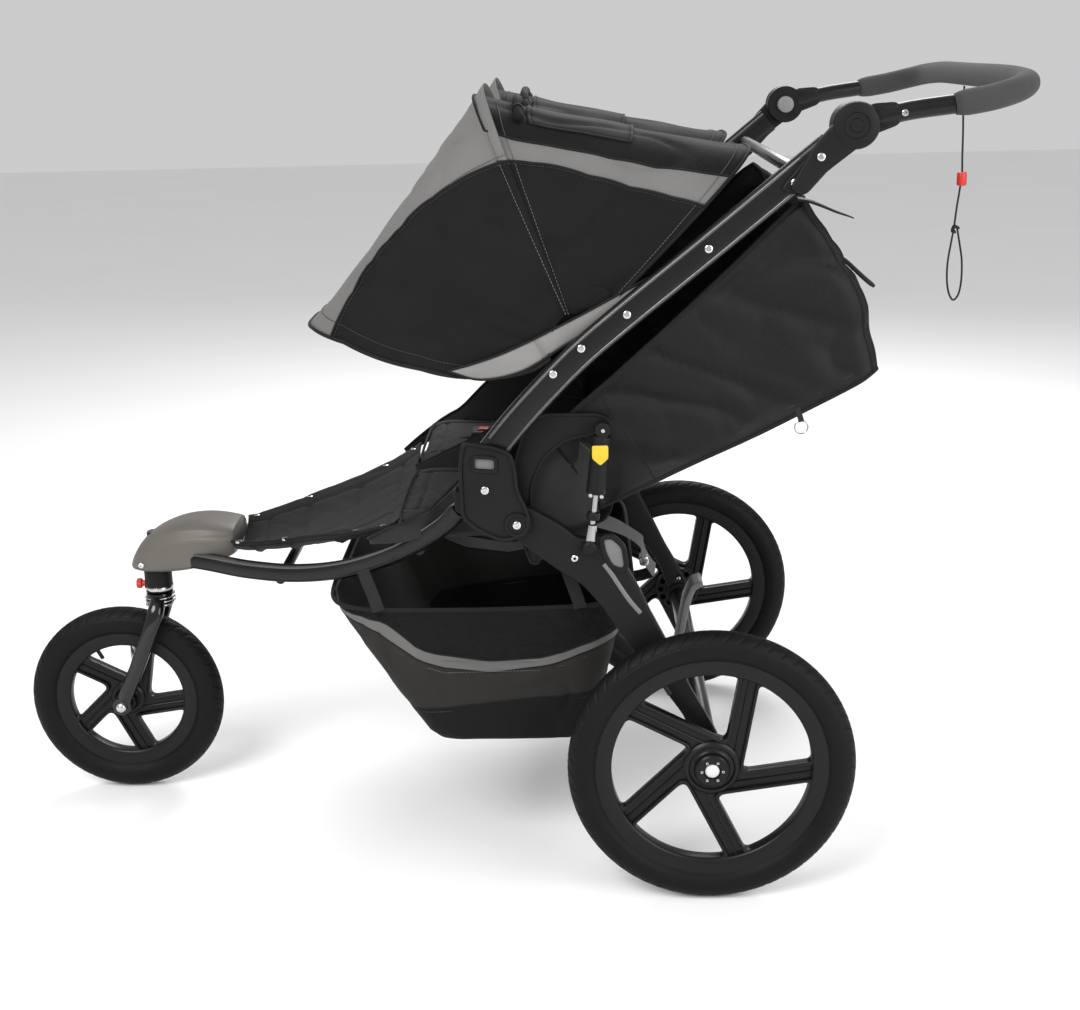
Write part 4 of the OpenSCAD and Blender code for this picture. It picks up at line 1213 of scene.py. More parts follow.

# %% [markdown]
# ## Upper rails
# The upper rails carry the seats, the canopies and the handlebar. They are flat ovals with a
# bright line along each edge, drawn as one squashed section swept along a gently bowed path,
# with two thin sweeps for the lines. The lines are painted highlights: strips of lighter grey
# where the rounded edges of the black tube would catch the light.

# %% Upper rails with their hinge ears
RAIL_Y = 334
UPPER = smooth_path([[x, RAIL_Y, z] for x, z in [[300, 652], [262, 698], [216, 747], [172, 790], [112, 840],
                                                  [5, 925], [-99, 1009], [-152, 1052]]], 6)
HANDLE_PIVOT = (-180, 1078)
for name, right in SIDES:
    up = beside_path(UPPER, (0, 1, 0))
    parts = [tube("rail", UPPER, round_section(19.8, 10.8, 40, 0.62), (0, 1, 0), BLACK_FRAME, right)]
    # The two edge lines are painted highlights, lighter grey strips on the black rail
    for lift in (14.6, -14.6):
        parts.append(tube("line", UPPER[2:-4] + up[2:-4] * lift + [0, 9.0, 0], round_section(2.2, 1.9, 12),
            (0, 1, 0), RAIL_HIGHLIGHT, right))
    parts += [lathe("fold_hub", [(8.1, 320.5), (16.8, 320.5), (18, 321.8), (18, 344.2), (17, 345.5),
        (8.1, 345.5)],
                    on_axis(FOLD_PIVOT), BLACK_NYLON, right, loop=True),
              plate("ear", [rounded([[-96, 1000], [-130, 1058], [-160, 1090], [-196, 1060], [-140, 1018],
                  [-114, 990]], 14)],
                    346.4, 357.5, BLACK_NYLON, right, 2.5),
              lathe("ear_hub", [(0.01, 346.3), (29, 346.3), (30, 348), (30, 355), (28.5, 358), (25, 359.2),
                  (17, 359.8),
                                (16, 358.4), (9, 358.4), (8, 359.6), (0.01, 359.8)],
                    on_axis(HANDLE_PIVOT), BLACK_NYLON, right),
              plate("ear_root", [rounded([[-84, 998], [-122, 1044], [-140, 1052], [-158, 1034],
                  [-118, 990]], 10)], 325, 350, BLACK_NYLON, right, 3),
              cross_bar("handle_pin", HANDLE_PIVOT, 340.6, 348, 7.9, STEEL, right)]
    rail = joined("upper_rail_tube_" + name, parts)
    hand_over(rail, "upper_frame", "black_frame", "upper_rail_" + name)
    marks = [[x, RAIL_Y + 11.4, z] for x, z in [[5, 925], [112, 841], [173, 797], [211, 763]]]
    marks += [[-136, 357.8, 1040], [-104, 353, 1008]]
    fit_screws("rail_screw_heads_" + name, marks, right, 0.0052, 0.0024, "upper_frame",
        *(["rail_screws"] if not right else []))
hand_over(cross_bar("upper_cross_tube_bar", [-112, 1019], -RAIL_Y, RAIL_Y, 8.9, BLACK_FRAME),
          "upper_frame", "black_frame", "upper_cross_tube")

# %% [markdown]
# ## Handlebar
# The bar turns on two round hubs and is set by a grey button in each. Its middle is one long
# sleeve of foam that bends with the tube and ends in a rounded lip.

# %% Handlebar tube, hubs and foam
BAR_X, BAR_Z = float(node_box("handle_grip")[0][0]) + 17, 1128
HALF_BAR = [[-200, 345, 1083], [-250, 346, 1094], [-305, 346, 1101], [-350, 343, 1108], [-384, 331, 1116],
            [-404, 306, 1122], [BAR_X, 270, BAR_Z - 3], [BAR_X, 180, BAR_Z], [BAR_X, 0, BAR_Z]]
half = np.array(HALF_BAR)
whole = np.vstack([half[2:], (half[2:-1] * [1, -1, 1])[::-1]])
foam_path = even_path(smooth_path(whole, 6), 110)
foam_size = np.ones(110)
foam_size[:3] = [0.8, 0.93, 0.99]
foam_size[-3:] = [0.99, 0.93, 0.8]
grip = tube("handlebar_foam", foam_path, round_section(16.6, 16.6, 32), (0, 0, 1), GRIP_FOAM,
    sizes=foam_size, sharp=0)
hand_over(grip, "handlebar", "grip_foam", "handle_grip")
parts = []
for name, right in SIDES:
    stub = half[:3] - [[0, 12, 0], [0, 10, 0], [0, 4, 0]]
    parts += [tube("stub", smooth_path(stub, 5), round_section(12.3, 12.3, 28), (0, 0, 1), BLACK_FRAME,
        right),
              lathe("hub", [(14.4, 322.3), (28, 322.3), (29.8, 324), (29.8, 344), (28.6, 345.7),
                  (8.3, 345.7), (8.3, 340), (14.4, 334)],
                    on_axis(HANDLE_PIVOT), BLACK_NYLON, right, loop=True),
              plate("hub_neck", [rounded([[-196, 1062], [-196, 1104], [-236, 1106], [-240, 1078]], 10)],
                    323.5, 344.5, BLACK_NYLON, right, 4)]
hand_over(joined("handlebar_tube", parts), "handlebar", "black_frame", "handle_tube")
for name, right in SIDES:
    button = lathe("handle_button_cap_" + name, [(0.01, 315), (9, 315.2), (12.6, 316.2), (13.8, 318),
        (13.9, 327.8), (0.01, 327.8)],
                   on_axis(HANDLE_PIVOT), BUTTON_GREY, right, 40)
    hand_over(button, "handle_button_" + name, "pedal_grey", "handle_button_" + name)
    fit_screws("bar_screws_" + name, [[-242, 347.6, 1092]], right, 0.0042, 0.002, "handlebar")
# %% [markdown]
# ## How the cloth is made
# Taut cloth, such as a canopy or a bag, is a sheet built as a grid of points, because
# its hoops and rails say exactly where it goes. Soft waves and sharper creases are then
# pressed into it along its own normals. Pads are different: each starts as a closed block,
# gets an even skin, and is blown up a little by a cloth simulation.

# %% Creases and sheets


def ripple(points, size, seed):
    """A smooth repeatable noise between about -1 and 1; size is its wavelength in mm."""
    rng = np.random.default_rng(seed)
    out = np.zeros(points.shape[:-1])
    for _ in range(7):
        ahead = unit(rng.normal(size=3))
        out += np.sin(points @ ahead * math.tau / (size * rng.uniform(0.6, 1.7)) + rng.uniform(0, 6))
    return out / 3.2


def creases(points, size, seed):
    """Sharp-topped folds, from 0 to 1, where the noise crosses its middle."""
    return np.clip(1 - abs(ripple(points, size, seed)) * 1.6, 0, 1) ** 2


def grid_normals(grid):
    across = np.gradient(grid, axis=1)
    down = np.gradient(grid, axis=0)
    n = np.cross(down, across)
    return n / np.maximum(np.linalg.norm(n, axis=2), 1e-9)[:, :, None]


def sheet_piece(name, grid, finishes, zone, right=False, thick_mm=1.4, inward=True, loop=False):
    """A cloth sheet over a grid of points. zone gives the finish number of each column strip."""
    rows, columns = grid.shape[:2]
    faces = ring_faces(rows, columns, closed=loop)
    obj = piece(name, grid.reshape(-1, 3), faces, finishes[0], right, sharp=0)
    for extra in finishes[1:]:
        obj.data.materials.append(extra)
    wide = columns if loop else columns - 1
    for i, poly in enumerate(obj.data.polygons):
        poly.material_index = int(zone(i // wide, i % wide))
    wall = obj.modifiers.new("cloth_thickness", "SOLIDIFY")
    wall.thickness = thick_mm / 1000
    wall.offset = -1 if inward else 1
    return settled(obj)


def closed_cord(name, path, section, up, finish, right=False):
    return skin(name, rings_along(path, section, up), finish, right, 0, loop=True)


def one_cloth(name, grid, finish, right, thickness, **more):
    """A sheet of one finish all over."""
    return sheet_piece(name, grid, [finish], lambda i, k: 0, right, thickness, **more)


def settled(obj):
    """Turns an object's modifiers into plain mesh."""
    depsgraph = bpy.context.evaluated_depsgraph_get()
    mesh = bpy.data.meshes.new_from_object(obj.evaluated_get(depsgraph))
    obj.modifiers.clear()
    obj.data = mesh
    mesh.name = obj.name
    return obj


def cord_edge(name, path, r, finish, right=False, up=(0, 0, 1)):
    """Piping or binding: a thin sewn-in cord along an edge."""
    return tube(name, path, round_section(r, r, 10), up, finish, right, sharp=0)


# %% Cut sizes of the cloth sheets


def line_length(points):
    """In metres, of a row of points in millimetres."""
    return float(np.linalg.norm(np.diff(points, axis=0), axis=1).sum()) / 1000


def sheet_area(grid):
    down, across = np.diff(grid, axis=0)[:, :-1], np.diff(grid, axis=1)[:-1]
    return float(np.linalg.norm(np.cross(down, across), axis=2).sum()) / 1e6


def widest(rows):
    return max(line_length(row) for row in rows)


def declare_sheet(obj, width, length, area):
    flat = (round(width, 3), round(length, 3))
    print(obj.name, "is cut", *flat, "m, area", round(area, 3))


square = np.array([[[x, y, 0] for x in (0, 1000)] for y in (0, 1000)])
print("a metre square measures", sheet_area(square))

# %% [markdown]
# ## Canopies
# Each canopy is one skin over two hoops that share a pivot. The front part runs from the brim
# to the hoop at the peak, the rear part from the hoop down to the seat. Along a hoop the cloth
# follows a squarish arch. The grid's columns are placed so that one of them runs exactly
# along the seam between the grey shoulder and the black side panel, so the colours meet in a
# clean line that carries a piping cord.

# %% The shape of a canopy
CANOPY_PIVOT = (177, 805)
CANOPY_MID_Y = 170
ARCH_POWER = 0.62
HOOP_ANGLE = 68
PANEL_SEAM = [(-40, 330), (0, 340), (15, 310), (34.5, 281), (55, 262), (68, 253), (81, 234), (95, 215),
              (110, 211), (125, 223), (136, 242)]
HEM_DROP = [(60, -34), (78, -31), (140, -20), (216, -9.5), (318, -0.5), (368, 1.5), (400, 1.5)]


def hoop_points(angle, reach, half_w, t):
    s = np.sin(np.radians(t)) ** ARCH_POWER
    c = np.cos(np.radians(t))
    y = CANOPY_MID_Y + half_w * np.sign(c) * abs(c) ** ARCH_POWER
    a = np.radians(angle)
    return np.stack([CANOPY_PIVOT[0] + np.cos(a) * reach * s, y,
                     CANOPY_PIVOT[1] + np.sin(a) * reach * s], -1)


def seam_turn(angle, reach):
    """Where the panel seam crosses a hoop, as the turn t in degrees."""
    far = np.interp(angle, *zip(*PANEL_SEAM))
    return math.degrees(math.asin(min(0.98, far / reach) ** (1 / ARCH_POWER)))


SIDE_COLUMNS, SHOULDER_COLUMNS, TOP_COLUMNS = 30, 12, 34
CANOPY_ROWS = 46
CLOTH_START = 1.8


def canopy_grid(rows, start, end, reach0, reach1, half_w, top_turn, hem):
    # Cloth is straight between its hoops, so the hoops' own vectors are mixed, not their angles
    grid = []
    first, last = (reach * np.array([math.cos(math.radians(a)), math.sin(math.radians(a))])
                   for a, reach in ((start, reach0), (end, reach1)))
    for f in np.linspace(0, 1, rows):
        arm = first + (last - first) * f
        angle, reach = math.degrees(math.atan2(arm[1], arm[0])), float(np.linalg.norm(arm))
        ta = seam_turn(angle, reach)
        side = np.linspace(CLOTH_START, ta, SIDE_COLUMNS + 1)
        shoulder = np.linspace(ta, max(top_turn, ta + 4), SHOULDER_COLUMNS + 1)[1:]
        top = np.linspace(shoulder[-1], 180 - shoulder[-1], TOP_COLUMNS + 1)[1:]
        t = np.concatenate([side, shoulder, top, 180 - shoulder[::-1][1:], [180 - ta],
            180 - side[::-1][1:]])
        sag = 4 * math.sin(math.pi * f)
        if hem:
            far = reach * np.sin(np.radians(t)) ** ARCH_POWER
            low = np.interp(far, *zip(*HEM_DROP))
            angle = angle + (low - start) * (1 - f) ** 2
        half = half_w[1] + (half_w[0] - half_w[1]) * (1 - f) ** 2
        grid.append(hoop_points(angle, reach - sag * np.sin(np.radians(t)), half, t))
    return np.array(grid)


def with_folds(grid, seed, soft_mm, fold_mm):
    """Presses waves and creases inwards; the sewn edges stay put."""
    n = grid_normals(grid)
    rows = grid.shape[0]
    f = np.arange(rows) / (rows - 1)
    hold = np.clip(np.minimum(f, 1 - f) * 9, 0, 1)[:, None]
    depth = soft_mm * (0.5 + 0.5 * ripple(grid, 120, seed)) + fold_mm * creases(grid, 95, seed + 1)
    return grid - n * (depth * hold)[:, :, None]


# %% Canopy cloth, piping, hems and the silver crescents


def between(top, low, steps, y_of):
    """A ruled grid from one (x, z) line to another; y_of gives how far out it stands."""
    grid = []
    for s in np.linspace(0, 1, steps):
        xz = top + (low - top) * s
        grid.append(np.stack([xz[:, 0], y_of(xz, s), xz[:, 1]], 1))
    return np.array(grid)


CRESCENT_CUT = 13
CRESCENT_TOP = smooth_path([[352, 768], [312, 779], [272, 793], [214, 819], [166, 842], [120, 866],
    [61, 897]], 5)
CRESCENT_LOW = smooth_path([[352, 768], [308, 755], [253, 765], [200, 795], [160, 817], [121, 842],
    [61, 897]], 5)


def crescent(name, part, right):
    def y_of(xz, s):
        on_panel = np.interp(xz[:, 0], [60, 130, 190, 236, 352], [322.0, 323.4, 326.5, 333.5, 334.5])
        return on_panel + 1.2 * math.sin(math.pi * s)
    grid = between(CRESCENT_TOP[part], CRESCENT_LOW[part], 7, y_of)
    obj = one_cloth(name, grid, SILVER_CLOTH, right, 1.0, inward=False)
    edges = [cord_edge(name + "_edge", g + [0, 0.8, 0], 1.5, BINDING, right, (0, 1, 0))
             for g in (grid[0], grid[-1])]
    return [obj, *edges]


def canopy_zone(columns, has_black_top):
    side, shoulder = SIDE_COLUMNS, SIDE_COLUMNS + SHOULDER_COLUMNS
    wide = columns - 1

    def zone(i, k):
        k = min(k, wide - 1 - k)
        return 1 if k < side or (has_black_top and k >= shoulder) else 0
    return zone


def sky_window(grid, outward, middle, right):
    """A clear dark pane in the rear top, framed by binding, with its flap rolled up above it."""
    rows_cut, half = slice(9, 27), 11
    across = slice(middle - half, middle + half + 1)
    pane = grid[rows_cut, across] + outward[rows_cut, across] * 1.6
    parts = [one_cloth("sky_window", pane, WINDOW_VINYL, right, 0.8, inward=True)]
    frame_line = np.vstack([pane[0], pane[1:, -1], pane[-1, -2::-1], pane[-2:0:-1, 0]])
    parts.append(closed_cord("sky_window_frame", frame_line, round_section(2.6, 1.6, 10), (0.2, 0.1, 1),
        BINDING, right))
    wider = slice(middle - half - 1, middle + half + 2)
    roll = grid[7, wider] + outward[7, wider] * 7
    parts.append(tube("rolled_flap", roll, round_section(6.5, 6.5, 18), (1, 0.05, 0.1), BLACK_CLOTH, right,
        sharp=0))
    for k in (-8, 8):
        tie_centre = roll[half + 1 + k]
        a = even_turns(24)
        tie = tie_centre + np.stack([7.4 * np.cos(a), 0 * a, 7.4 * np.sin(a)], 1)
        parts.append(closed_cord("flap_tie", tie, round_section(0.8, 4, 10), (0, 1, 0), WEBBING, right))
    return parts


GUSSET_EDGE = np.array([[118, 852], [140, 872], [178, 880], [214, 866], [238, 838], [240, 806], [226, 778],
    [206, 768]])
GUSSET_MID = np.array([[120, 850], [130, 846], [146, 834], [164, 822], [180, 808], [192, 796], [200, 784],
    [204, 770]])
for name, right in SIDES:
    front = canopy_grid(CANOPY_ROWS, 1.5, HOOP_ANGLE + 1.6, 379, 353, (162, 162), 72, True)
    front = with_folds(front, 3, 3.0, 3.4)
    rear = canopy_grid(CANOPY_ROWS, HOOP_ANGLE - 1.5, 135, 345.5, 338, (160.5, 152), 52, False)
    rear = with_folds(rear, 5, 3.5, 4.2)
    columns = front.shape[1]
    for tag, grid, body, nodes, black_top in (
            ("canopy_front_cloth_", front, "canopy_" + name, ["canopy_front_" + name], False),
            ("canopy_rear_cloth_", rear, "upper_frame", ["canopy_rear_" + name], True)):
        parts = [sheet_piece(tag + name, grid, [GREY_CLOTH, BLACK_CLOTH],
                             canopy_zone(columns, black_top), right, 1.5, inward=False)]
        outward = -grid_normals(grid)
        if outward[20, columns // 2, 2] < 0:
            outward = -outward
        seam_columns = [SIDE_COLUMNS, columns - 1 - SIDE_COLUMNS]
        for k in seam_columns:
            parts.append(cord_edge("piping", grid[:, k] + outward[:, k] * 1.4, 2.0, BINDING, right,
                (0, 1, 0.02)))
            for off in (-1, 1):
                seam = grid[:, k + off] * 0.75 + grid[:, k] * 0.25 + outward[:, k] * 1.0
                parts.append(sewn_line("stitch", seam, GREY_THREAD if off == 1 else THREAD, right))
        if black_top:
            for k in (SIDE_COLUMNS + SHOULDER_COLUMNS, columns - 1 - SIDE_COLUMNS - SHOULDER_COLUMNS):
                parts.append(cord_edge("top_seam", grid[:, k] + outward[:, k] * 0.9, 1.3, BINDING, right,
                    (0, 1, 0.02)))
        row, r = (-1, 2.4) if black_top else (0, 2.6)
        parts.append(cord_edge("binding", grid[row], r, BINDING, right, (1, 0.02, 0.01)))
        for row in (4 if black_top else 3, -3):
            parts.append(sewn_line("hem_stitch", grid[row] + outward[row] * 0.9,
                                   THREAD if row == 3 else GREY_THREAD, right))
        if black_top:
            parts += sky_window(grid, outward, columns // 2, right)
            gusset = np.array([[[x, 319.5 - 1.5 * s, z]
                                for x, z in GUSSET_EDGE * (1 - s) + GUSSET_MID * s]
                               for s in np.linspace(0, 1, 8)])
            parts.append(one_cloth("pivot_gusset", gusset, BLACK_CLOTH, right, 1.2, inward=True))
        part = slice(CRESCENT_CUT, None) if black_top else slice(0, CRESCENT_CUT + 1)
        parts += crescent("crescent", part, right)
        whole_piece = joined(tag + name, parts)
        hand_over(whole_piece, body, "canopy_cloth", *nodes)
        declare_sheet(whole_piece, widest(grid), line_length(grid[:, columns // 2]), sheet_area(grid))
        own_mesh(whole_piece)
    bow_path = hoop_points(3.5, 359, 148, np.linspace(6, 174, 60))
    bow = tube("canopy_bow_rod_" + name, bow_path, round_section(3.4, 3.4, 12), (0, 0, 1), BLACK_NYLON,
        right)
    hand_over(bow, "canopy_" + name, "black_plastic", "canopy_bow_" + name)
    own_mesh(bow)

# %% [markdown]
# ## Pads by cloth simulation
# A real pad is foam in a sewn cover: full in the middle, drawn in at its seams. The block is
# remeshed so that its faces are small and even, then the cloth solver inflates it for twenty
# frames with gravity off. A cap keeps each point close to where the pattern put it. Channels
# are pressed in afterwards, because remeshing would wipe them out.

# %% Swelling a block into a pad
PAD_VOXEL_MM = 6.0
PAD_CAP_MM = 6
SWELL_FRAMES = 20


def swollen(obj, cap_mm, pressure=4.0):
    even = obj.modifiers.new("even_skin", "REMESH")
    even.mode = "VOXEL"
    even.voxel_size = PAD_VOXEL_MM / 1000
    settled(obj)
    rest = np.array([v.co for v in obj.data.vertices])
    cloth = obj.modifiers.new("air", "CLOTH")
    cloth.settings.use_pressure = True
    cloth.settings.uniform_pressure_force = pressure
    cloth.settings.effector_weights.gravity = 0
    cloth.settings.quality = 4
    cloth.collision_settings.use_collision = False
    for number in range(1, SWELL_FRAMES + 1):
        bpy.context.scene.frame_set(number)
    blown = obj.evaluated_get(bpy.context.evaluated_depsgraph_get())
    moved = np.array([v.co for v in blown.data.vertices]) - rest
    obj.modifiers.remove(cloth)
    bpy.context.scene.frame_set(1)
    far = np.linalg.norm(moved, axis=1)
    cap = cap_mm / 1000
    moved *= (cap * np.tanh(far / cap) / np.maximum(far, 1e-9))[:, None]
    obj.data.vertices.foreach_set("co", (rest + moved).ravel())
    obj.data.update()
    most = float(np.linalg.norm(moved, axis=1).max()) * 1000
    print(obj.name, "swelled by up to", round(most, 1), "mm")
    finer = obj.modifiers.new("finer", "SUBSURF")
    finer.levels = finer.render_levels = 1
    settled(obj)
    for poly in obj.data.polygons:
        poly.use_smooth = True
    return obj


def pressed(obj, depth_of):
    """Moves points along their normals; depth_of gives the depth in mm from positions in mm."""
    mesh = obj.data
    p = np.array([v.co for v in mesh.vertices])
    n = np.array([v.normal for v in mesh.vertices])
    depth = depth_of((p - AXLE_SHIFT) * 1000, n)
    mesh.vertices.foreach_set("co", (p - n * depth[:, None] / 1000).ravel())
    mesh.update()


def groove(distance, width, depth):
    return depth * np.exp(-(distance / width) ** 2)


def block(name, outline, y0, y1, finish, right, edge=9):
    return plate(name, [rounded(outline, 12, 4)], y0, y1, finish, right, edge)


# %% Seat bases
SEAT_CHANNELS = (62, 256)
for name, right in SIDES:
    pad = block("seat_pad_" + name, [[154, 518], [408, 522], [438, 522], [443, 536], [434, 547], [408, 549],
        [154, 540]],
                17, 301, SEAT_CLOTH, right)
    swollen(pad, PAD_CAP_MM)
    sign = -1 if right else 1

    def seat_channels(p, n, sign=sign):
        y = p[:, 1] * sign
        top = np.clip(n[:, 2] * 2, 0, 1)
        depth = sum(groove(abs(y - line), 3.2, 4.5) for line in SEAT_CHANNELS)
        across = sum(groove(abs(p[:, 0] - line), 3.2, 4.5) for line in (235, 408))
        depth = depth + across * (abs(y - 159) < 100)
        return top * depth + 0.8 * creases(p, 90, 21)
    pressed(pad, seat_channels)
    bridge = np.array([[[x, y, 532 - 5 * (1 - y / 24) ** 2] for y in np.linspace(0, 24, 8)]
        for x in np.linspace(150, 440, 20)])
    parts = [pad, one_cloth("seat_bridge", bridge, SEAT_CLOTH, right, 1.6)]
    for line in SEAT_CHANNELS:
        parts.append(sewn_line("seat_stitch", [[x, line, 549.5 + 1.5 * math.sin((x - 160) / 90)]
            for x in range(165, 436, 8)], GREY_THREAD, right))
    knee = smooth_path([[428, 27, 545.5], [434, 60, 547], [435, 159, 548], [434, 258, 547],
        [428, 291, 545.5]], 8)
    parts.append(cord_edge("knee_piping", knee, 2.4, BINDING, right))
    seat = joined("seat_pad_" + name, parts)
    hand_over(seat, "frame", "seat_cloth", "seat_base_" + name)

# %% Seat backs
RECLINE_PIVOT = np.array([150.0, 552.0])
BACK_CHANNELS = (60, 258)
WEB_FACE = (0.454, 0, 0.891)
BACK_SLOPE = math.radians(27)
BACK_ALONG = np.array([-math.cos(BACK_SLOPE), math.sin(BACK_SLOPE)])
BACK_OUT = np.array([math.sin(BACK_SLOPE), math.cos(BACK_SLOPE)])


def on_back(s, h):
    return RECLINE_PIVOT + BACK_ALONG * s + BACK_OUT * h


def back_point(s, y, h):
    """A point s up the seat back, y across it and h out of it."""
    x, z = on_back(s, h)
    return [x, y, z]


for name, right in SIDES:
    pad = block("seat_back_pad_" + name, [on_back(12, 6), on_back(425, 4), on_back(425, 30),
        on_back(62, 30), on_back(12, 24)],
                19, 299, SEAT_CLOTH, right)
    swollen(pad, PAD_CAP_MM)
    sign = -1 if right else 1

    def back_channels(p, n, sign=sign):
        y = p[:, 1] * sign
        s = (p[:, [0, 2]] - RECLINE_PIVOT) @ BACK_ALONG
        top = np.clip((n[:, 0] * BACK_OUT[0] + n[:, 2] * BACK_OUT[1]) * 2, 0, 1)
        depth = sum(groove(abs(y - line), 3.2, 5) for line in BACK_CHANNELS)
        across = sum(groove(abs(s - line), 3.2, 4.5) for line in (130, 235, 340))
        depth = depth + across * (abs(y - 159) < 100)
        return top * depth + 0.9 * creases(p, 90, 27)
    pressed(pad, back_channels)
    # A tongue of the cover closes the crease between the back and the base, close to the hinge
    tongue = smooth_path([[163, 537], [152, 539], [142, 546], [135, 558], [130, 574], [122, 590]], 4)
    tongue_grid = np.array([[[x, y, z] for x, z in tongue] for y in np.linspace(20, 298, 30)])
    tongue_grid[:, :, 2] += 1.5 * ripple(tongue_grid, 90, 29)
    inner_strip = np.array([[back_point(s, y, 12) for y in np.linspace(1, 26, 6)]
                            for s in np.linspace(18, 418, 24)])
    parts = [pad, one_cloth("seat_crease", tongue_grid, SEAT_CLOTH, right, 1.6),
             one_cloth("seat_inner_strip", inner_strip, SEAT_CLOTH, right, 1.6)]
    for y in BACK_CHANNELS:
        line = [back_point(s, y, 35) for s in np.linspace(30, 416, 40)]
        parts.append(sewn_line("back_stitch", line, GREY_THREAD, right))
    loop_line = ([(s, 27.5) for s in np.linspace(64, 408, 14)]
                 + [(417, y) for y in np.linspace(36, 282, 12)]
                 + [(s, 290.5) for s in np.linspace(408, 64, 14)])
    parts.append(cord_edge("back_piping", [back_point(s, y, 29.4) for s, y in loop_line], 2.2, BINDING,
        right, (0.3, 0.01, 1)))
    back = joined("seat_back_pad_" + name, parts)
    hand_over(back, "seat_back_" + name, "seat_cloth", "seat_back_" + name)
    straps = []
    for y in (127, 191):
        web = [back_point(s, y, h) for s, h in ((96, 37), (140, 38.5), (200, 38.5), (296, 37.5))]
        straps.append(tube("shoulder_web", smooth_path(web, 6), round_section(12, 1.2, 16, 0.5), WEB_FACE,
            WEBBING, right))
        cushion = [back_point(s, y, h) for s, h in ((170, 40), (200, 40.5), (260, 40.5), (292, 40))]
        straps.append(tube("shoulder_pad", smooth_path(cushion, 6), round_section(15, 3.4, 20, 0.6),
            WEB_FACE, SEAT_CLOTH, right,
                           sizes=np.interp(np.arange(19), [0, 2, 16, 18], [0.8, 1, 1, 0.8])))
    hand_over(joined("shoulder_straps_" + name, straps), "seat_back_" + name, "webbing", "harness_" + name)
print("pads made")

# %% [markdown]
# ## Footwell
# Between the lower rails hangs a quilted floor with two calf panels. It is one stretched
# sheet: high along both rails, low in the middle, with sewn channels that pull it down in
# lines. Snaps hold its edge to the rails.

# %% Footwell sheet
FOOT_CHANNELS = (690, 628, 548, 478)
FLOOR_ROWS = smooth_path([[726, 447, 66, 6], [705, 449, 77, 10], [660, 458, 101, 14], [600, 474, 135, 20],
    [530, 492, 177, 24],
                          [480, 510, 214, 18], [452, 523, 236, 10]], 12)
grid = []
for x, z, half_w, sag in FLOOR_ROWS:
    f = np.linspace(-1, 1, 90)
    dip = (sag + 26) * (1 - abs(f) ** 2.2)
    grid.append(np.stack([np.full(90, x), half_w * f, z - dip], 1))
grid = np.array(grid)
side_f = np.linspace(-1, 1, 90)[None, :] * np.ones((len(grid), 1))
quilt = groove(side_f, 0.022, 4.5) + groove(abs(side_f) - 0.86, 0.025, 3) + sum(
    groove(grid[:, :, 0] - x, 4.0, 4.5) * (abs(side_f) < 0.86) for x in FOOT_CHANNELS)
grid[:, :, 2] += 3.0 * (1 - side_f ** 4) - quilt - 1.6 * creases(grid, 80, 41)
floor_cloth = one_cloth("footwell_cloth", grid, SEAT_CLOTH, False, 3.0, inward=False)
parts = [floor_cloth]
for k in (0, -1):
    parts.append(cord_edge("footwell_binding", grid[:, k], 2.6, BINDING, up=(0, 1, 0.3)))
for k in (2, 6, 83, 87):
    parts.append(sewn_line("footwell_stitch", grid[::4, k] + [0, 0, 0.8], GREY_THREAD))
for x in FOOT_CHANNELS:
    row = int(np.argmin(abs(grid[:, 0, 0] - x)))
    parts.append(sewn_line("footwell_channel_stitch", grid[row, 8:82:3] + [0, 0, 0.6], GREY_THREAD))
snap_points = [grid[r, k] + [0, 0, 1.5] for r in (8, 30, 52, 66) for k in (1, 88)]
footwell = joined("footwell_cloth", parts)
hand_over(footwell, "frame", "seat_cloth", "footwell")
declare_sheet(footwell, widest(grid), line_length(grid[:, 45]), sheet_area(grid))
snaps = screws.grow("footwell_snaps", snap_points, [], ZINC, Radius=0.0055, Height=0.0024, Lean=(0, 0, 0))
hand_over(snaps, "frame", "bright_metal")

# %% [markdown]
# ## Basket
# The basket is a deep tray of cloth slung between the rails. From outside it shows four
# materials in curved bands: black mesh at the top, a silver strip, a dark grey band, and a
# black floor with a lip. The rows of the grid follow those curves, so each band has a clean
# edge, and the walls sag and wrinkle like hung cloth.

# %% Basket shell
TOP_Z, FLOOR_Z = 415.0, 193.0
STRIP_TOP = [[90, 372], [153, 358], [211, 337], [284, 323], [357, 328], [414, 347], [441, 385], [500, 408],
    [520, 410], [600, 411]]
STRIP_LOW = [[90, 358], [153, 344], [212, 322], [299, 306], [372, 307], [422, 329], [463, 371], [500, 401],
    [520, 405], [600, 406]]
FLOOR_BAND = [[90, 276], [213, 266], [345, 258], [430, 248], [600, 240]]
AROUND = 220


def basket_point(turn, z, inset=0.0):
    """A point of the wall at a turn round the basket and a height."""
    f = (z - FLOOR_Z) / (TOP_Z - FLOOR_Z)
    back = 157 - 58 * f + 6 * math.sin(math.pi * min(max(f, 0), 1))
    front = 414 + 141 * f
    half_w = 262 + 19 * min(1, f * 1.6)
    mid, half = (front + back) / 2, (front - back) / 2
    c, s = math.cos(turn), math.sin(turn)
    x = mid + (half - inset) * np.sign(c) * abs(c) ** 0.26
    y = (half_w - inset) * np.sign(s) * abs(s) ** 0.26
    return x, y


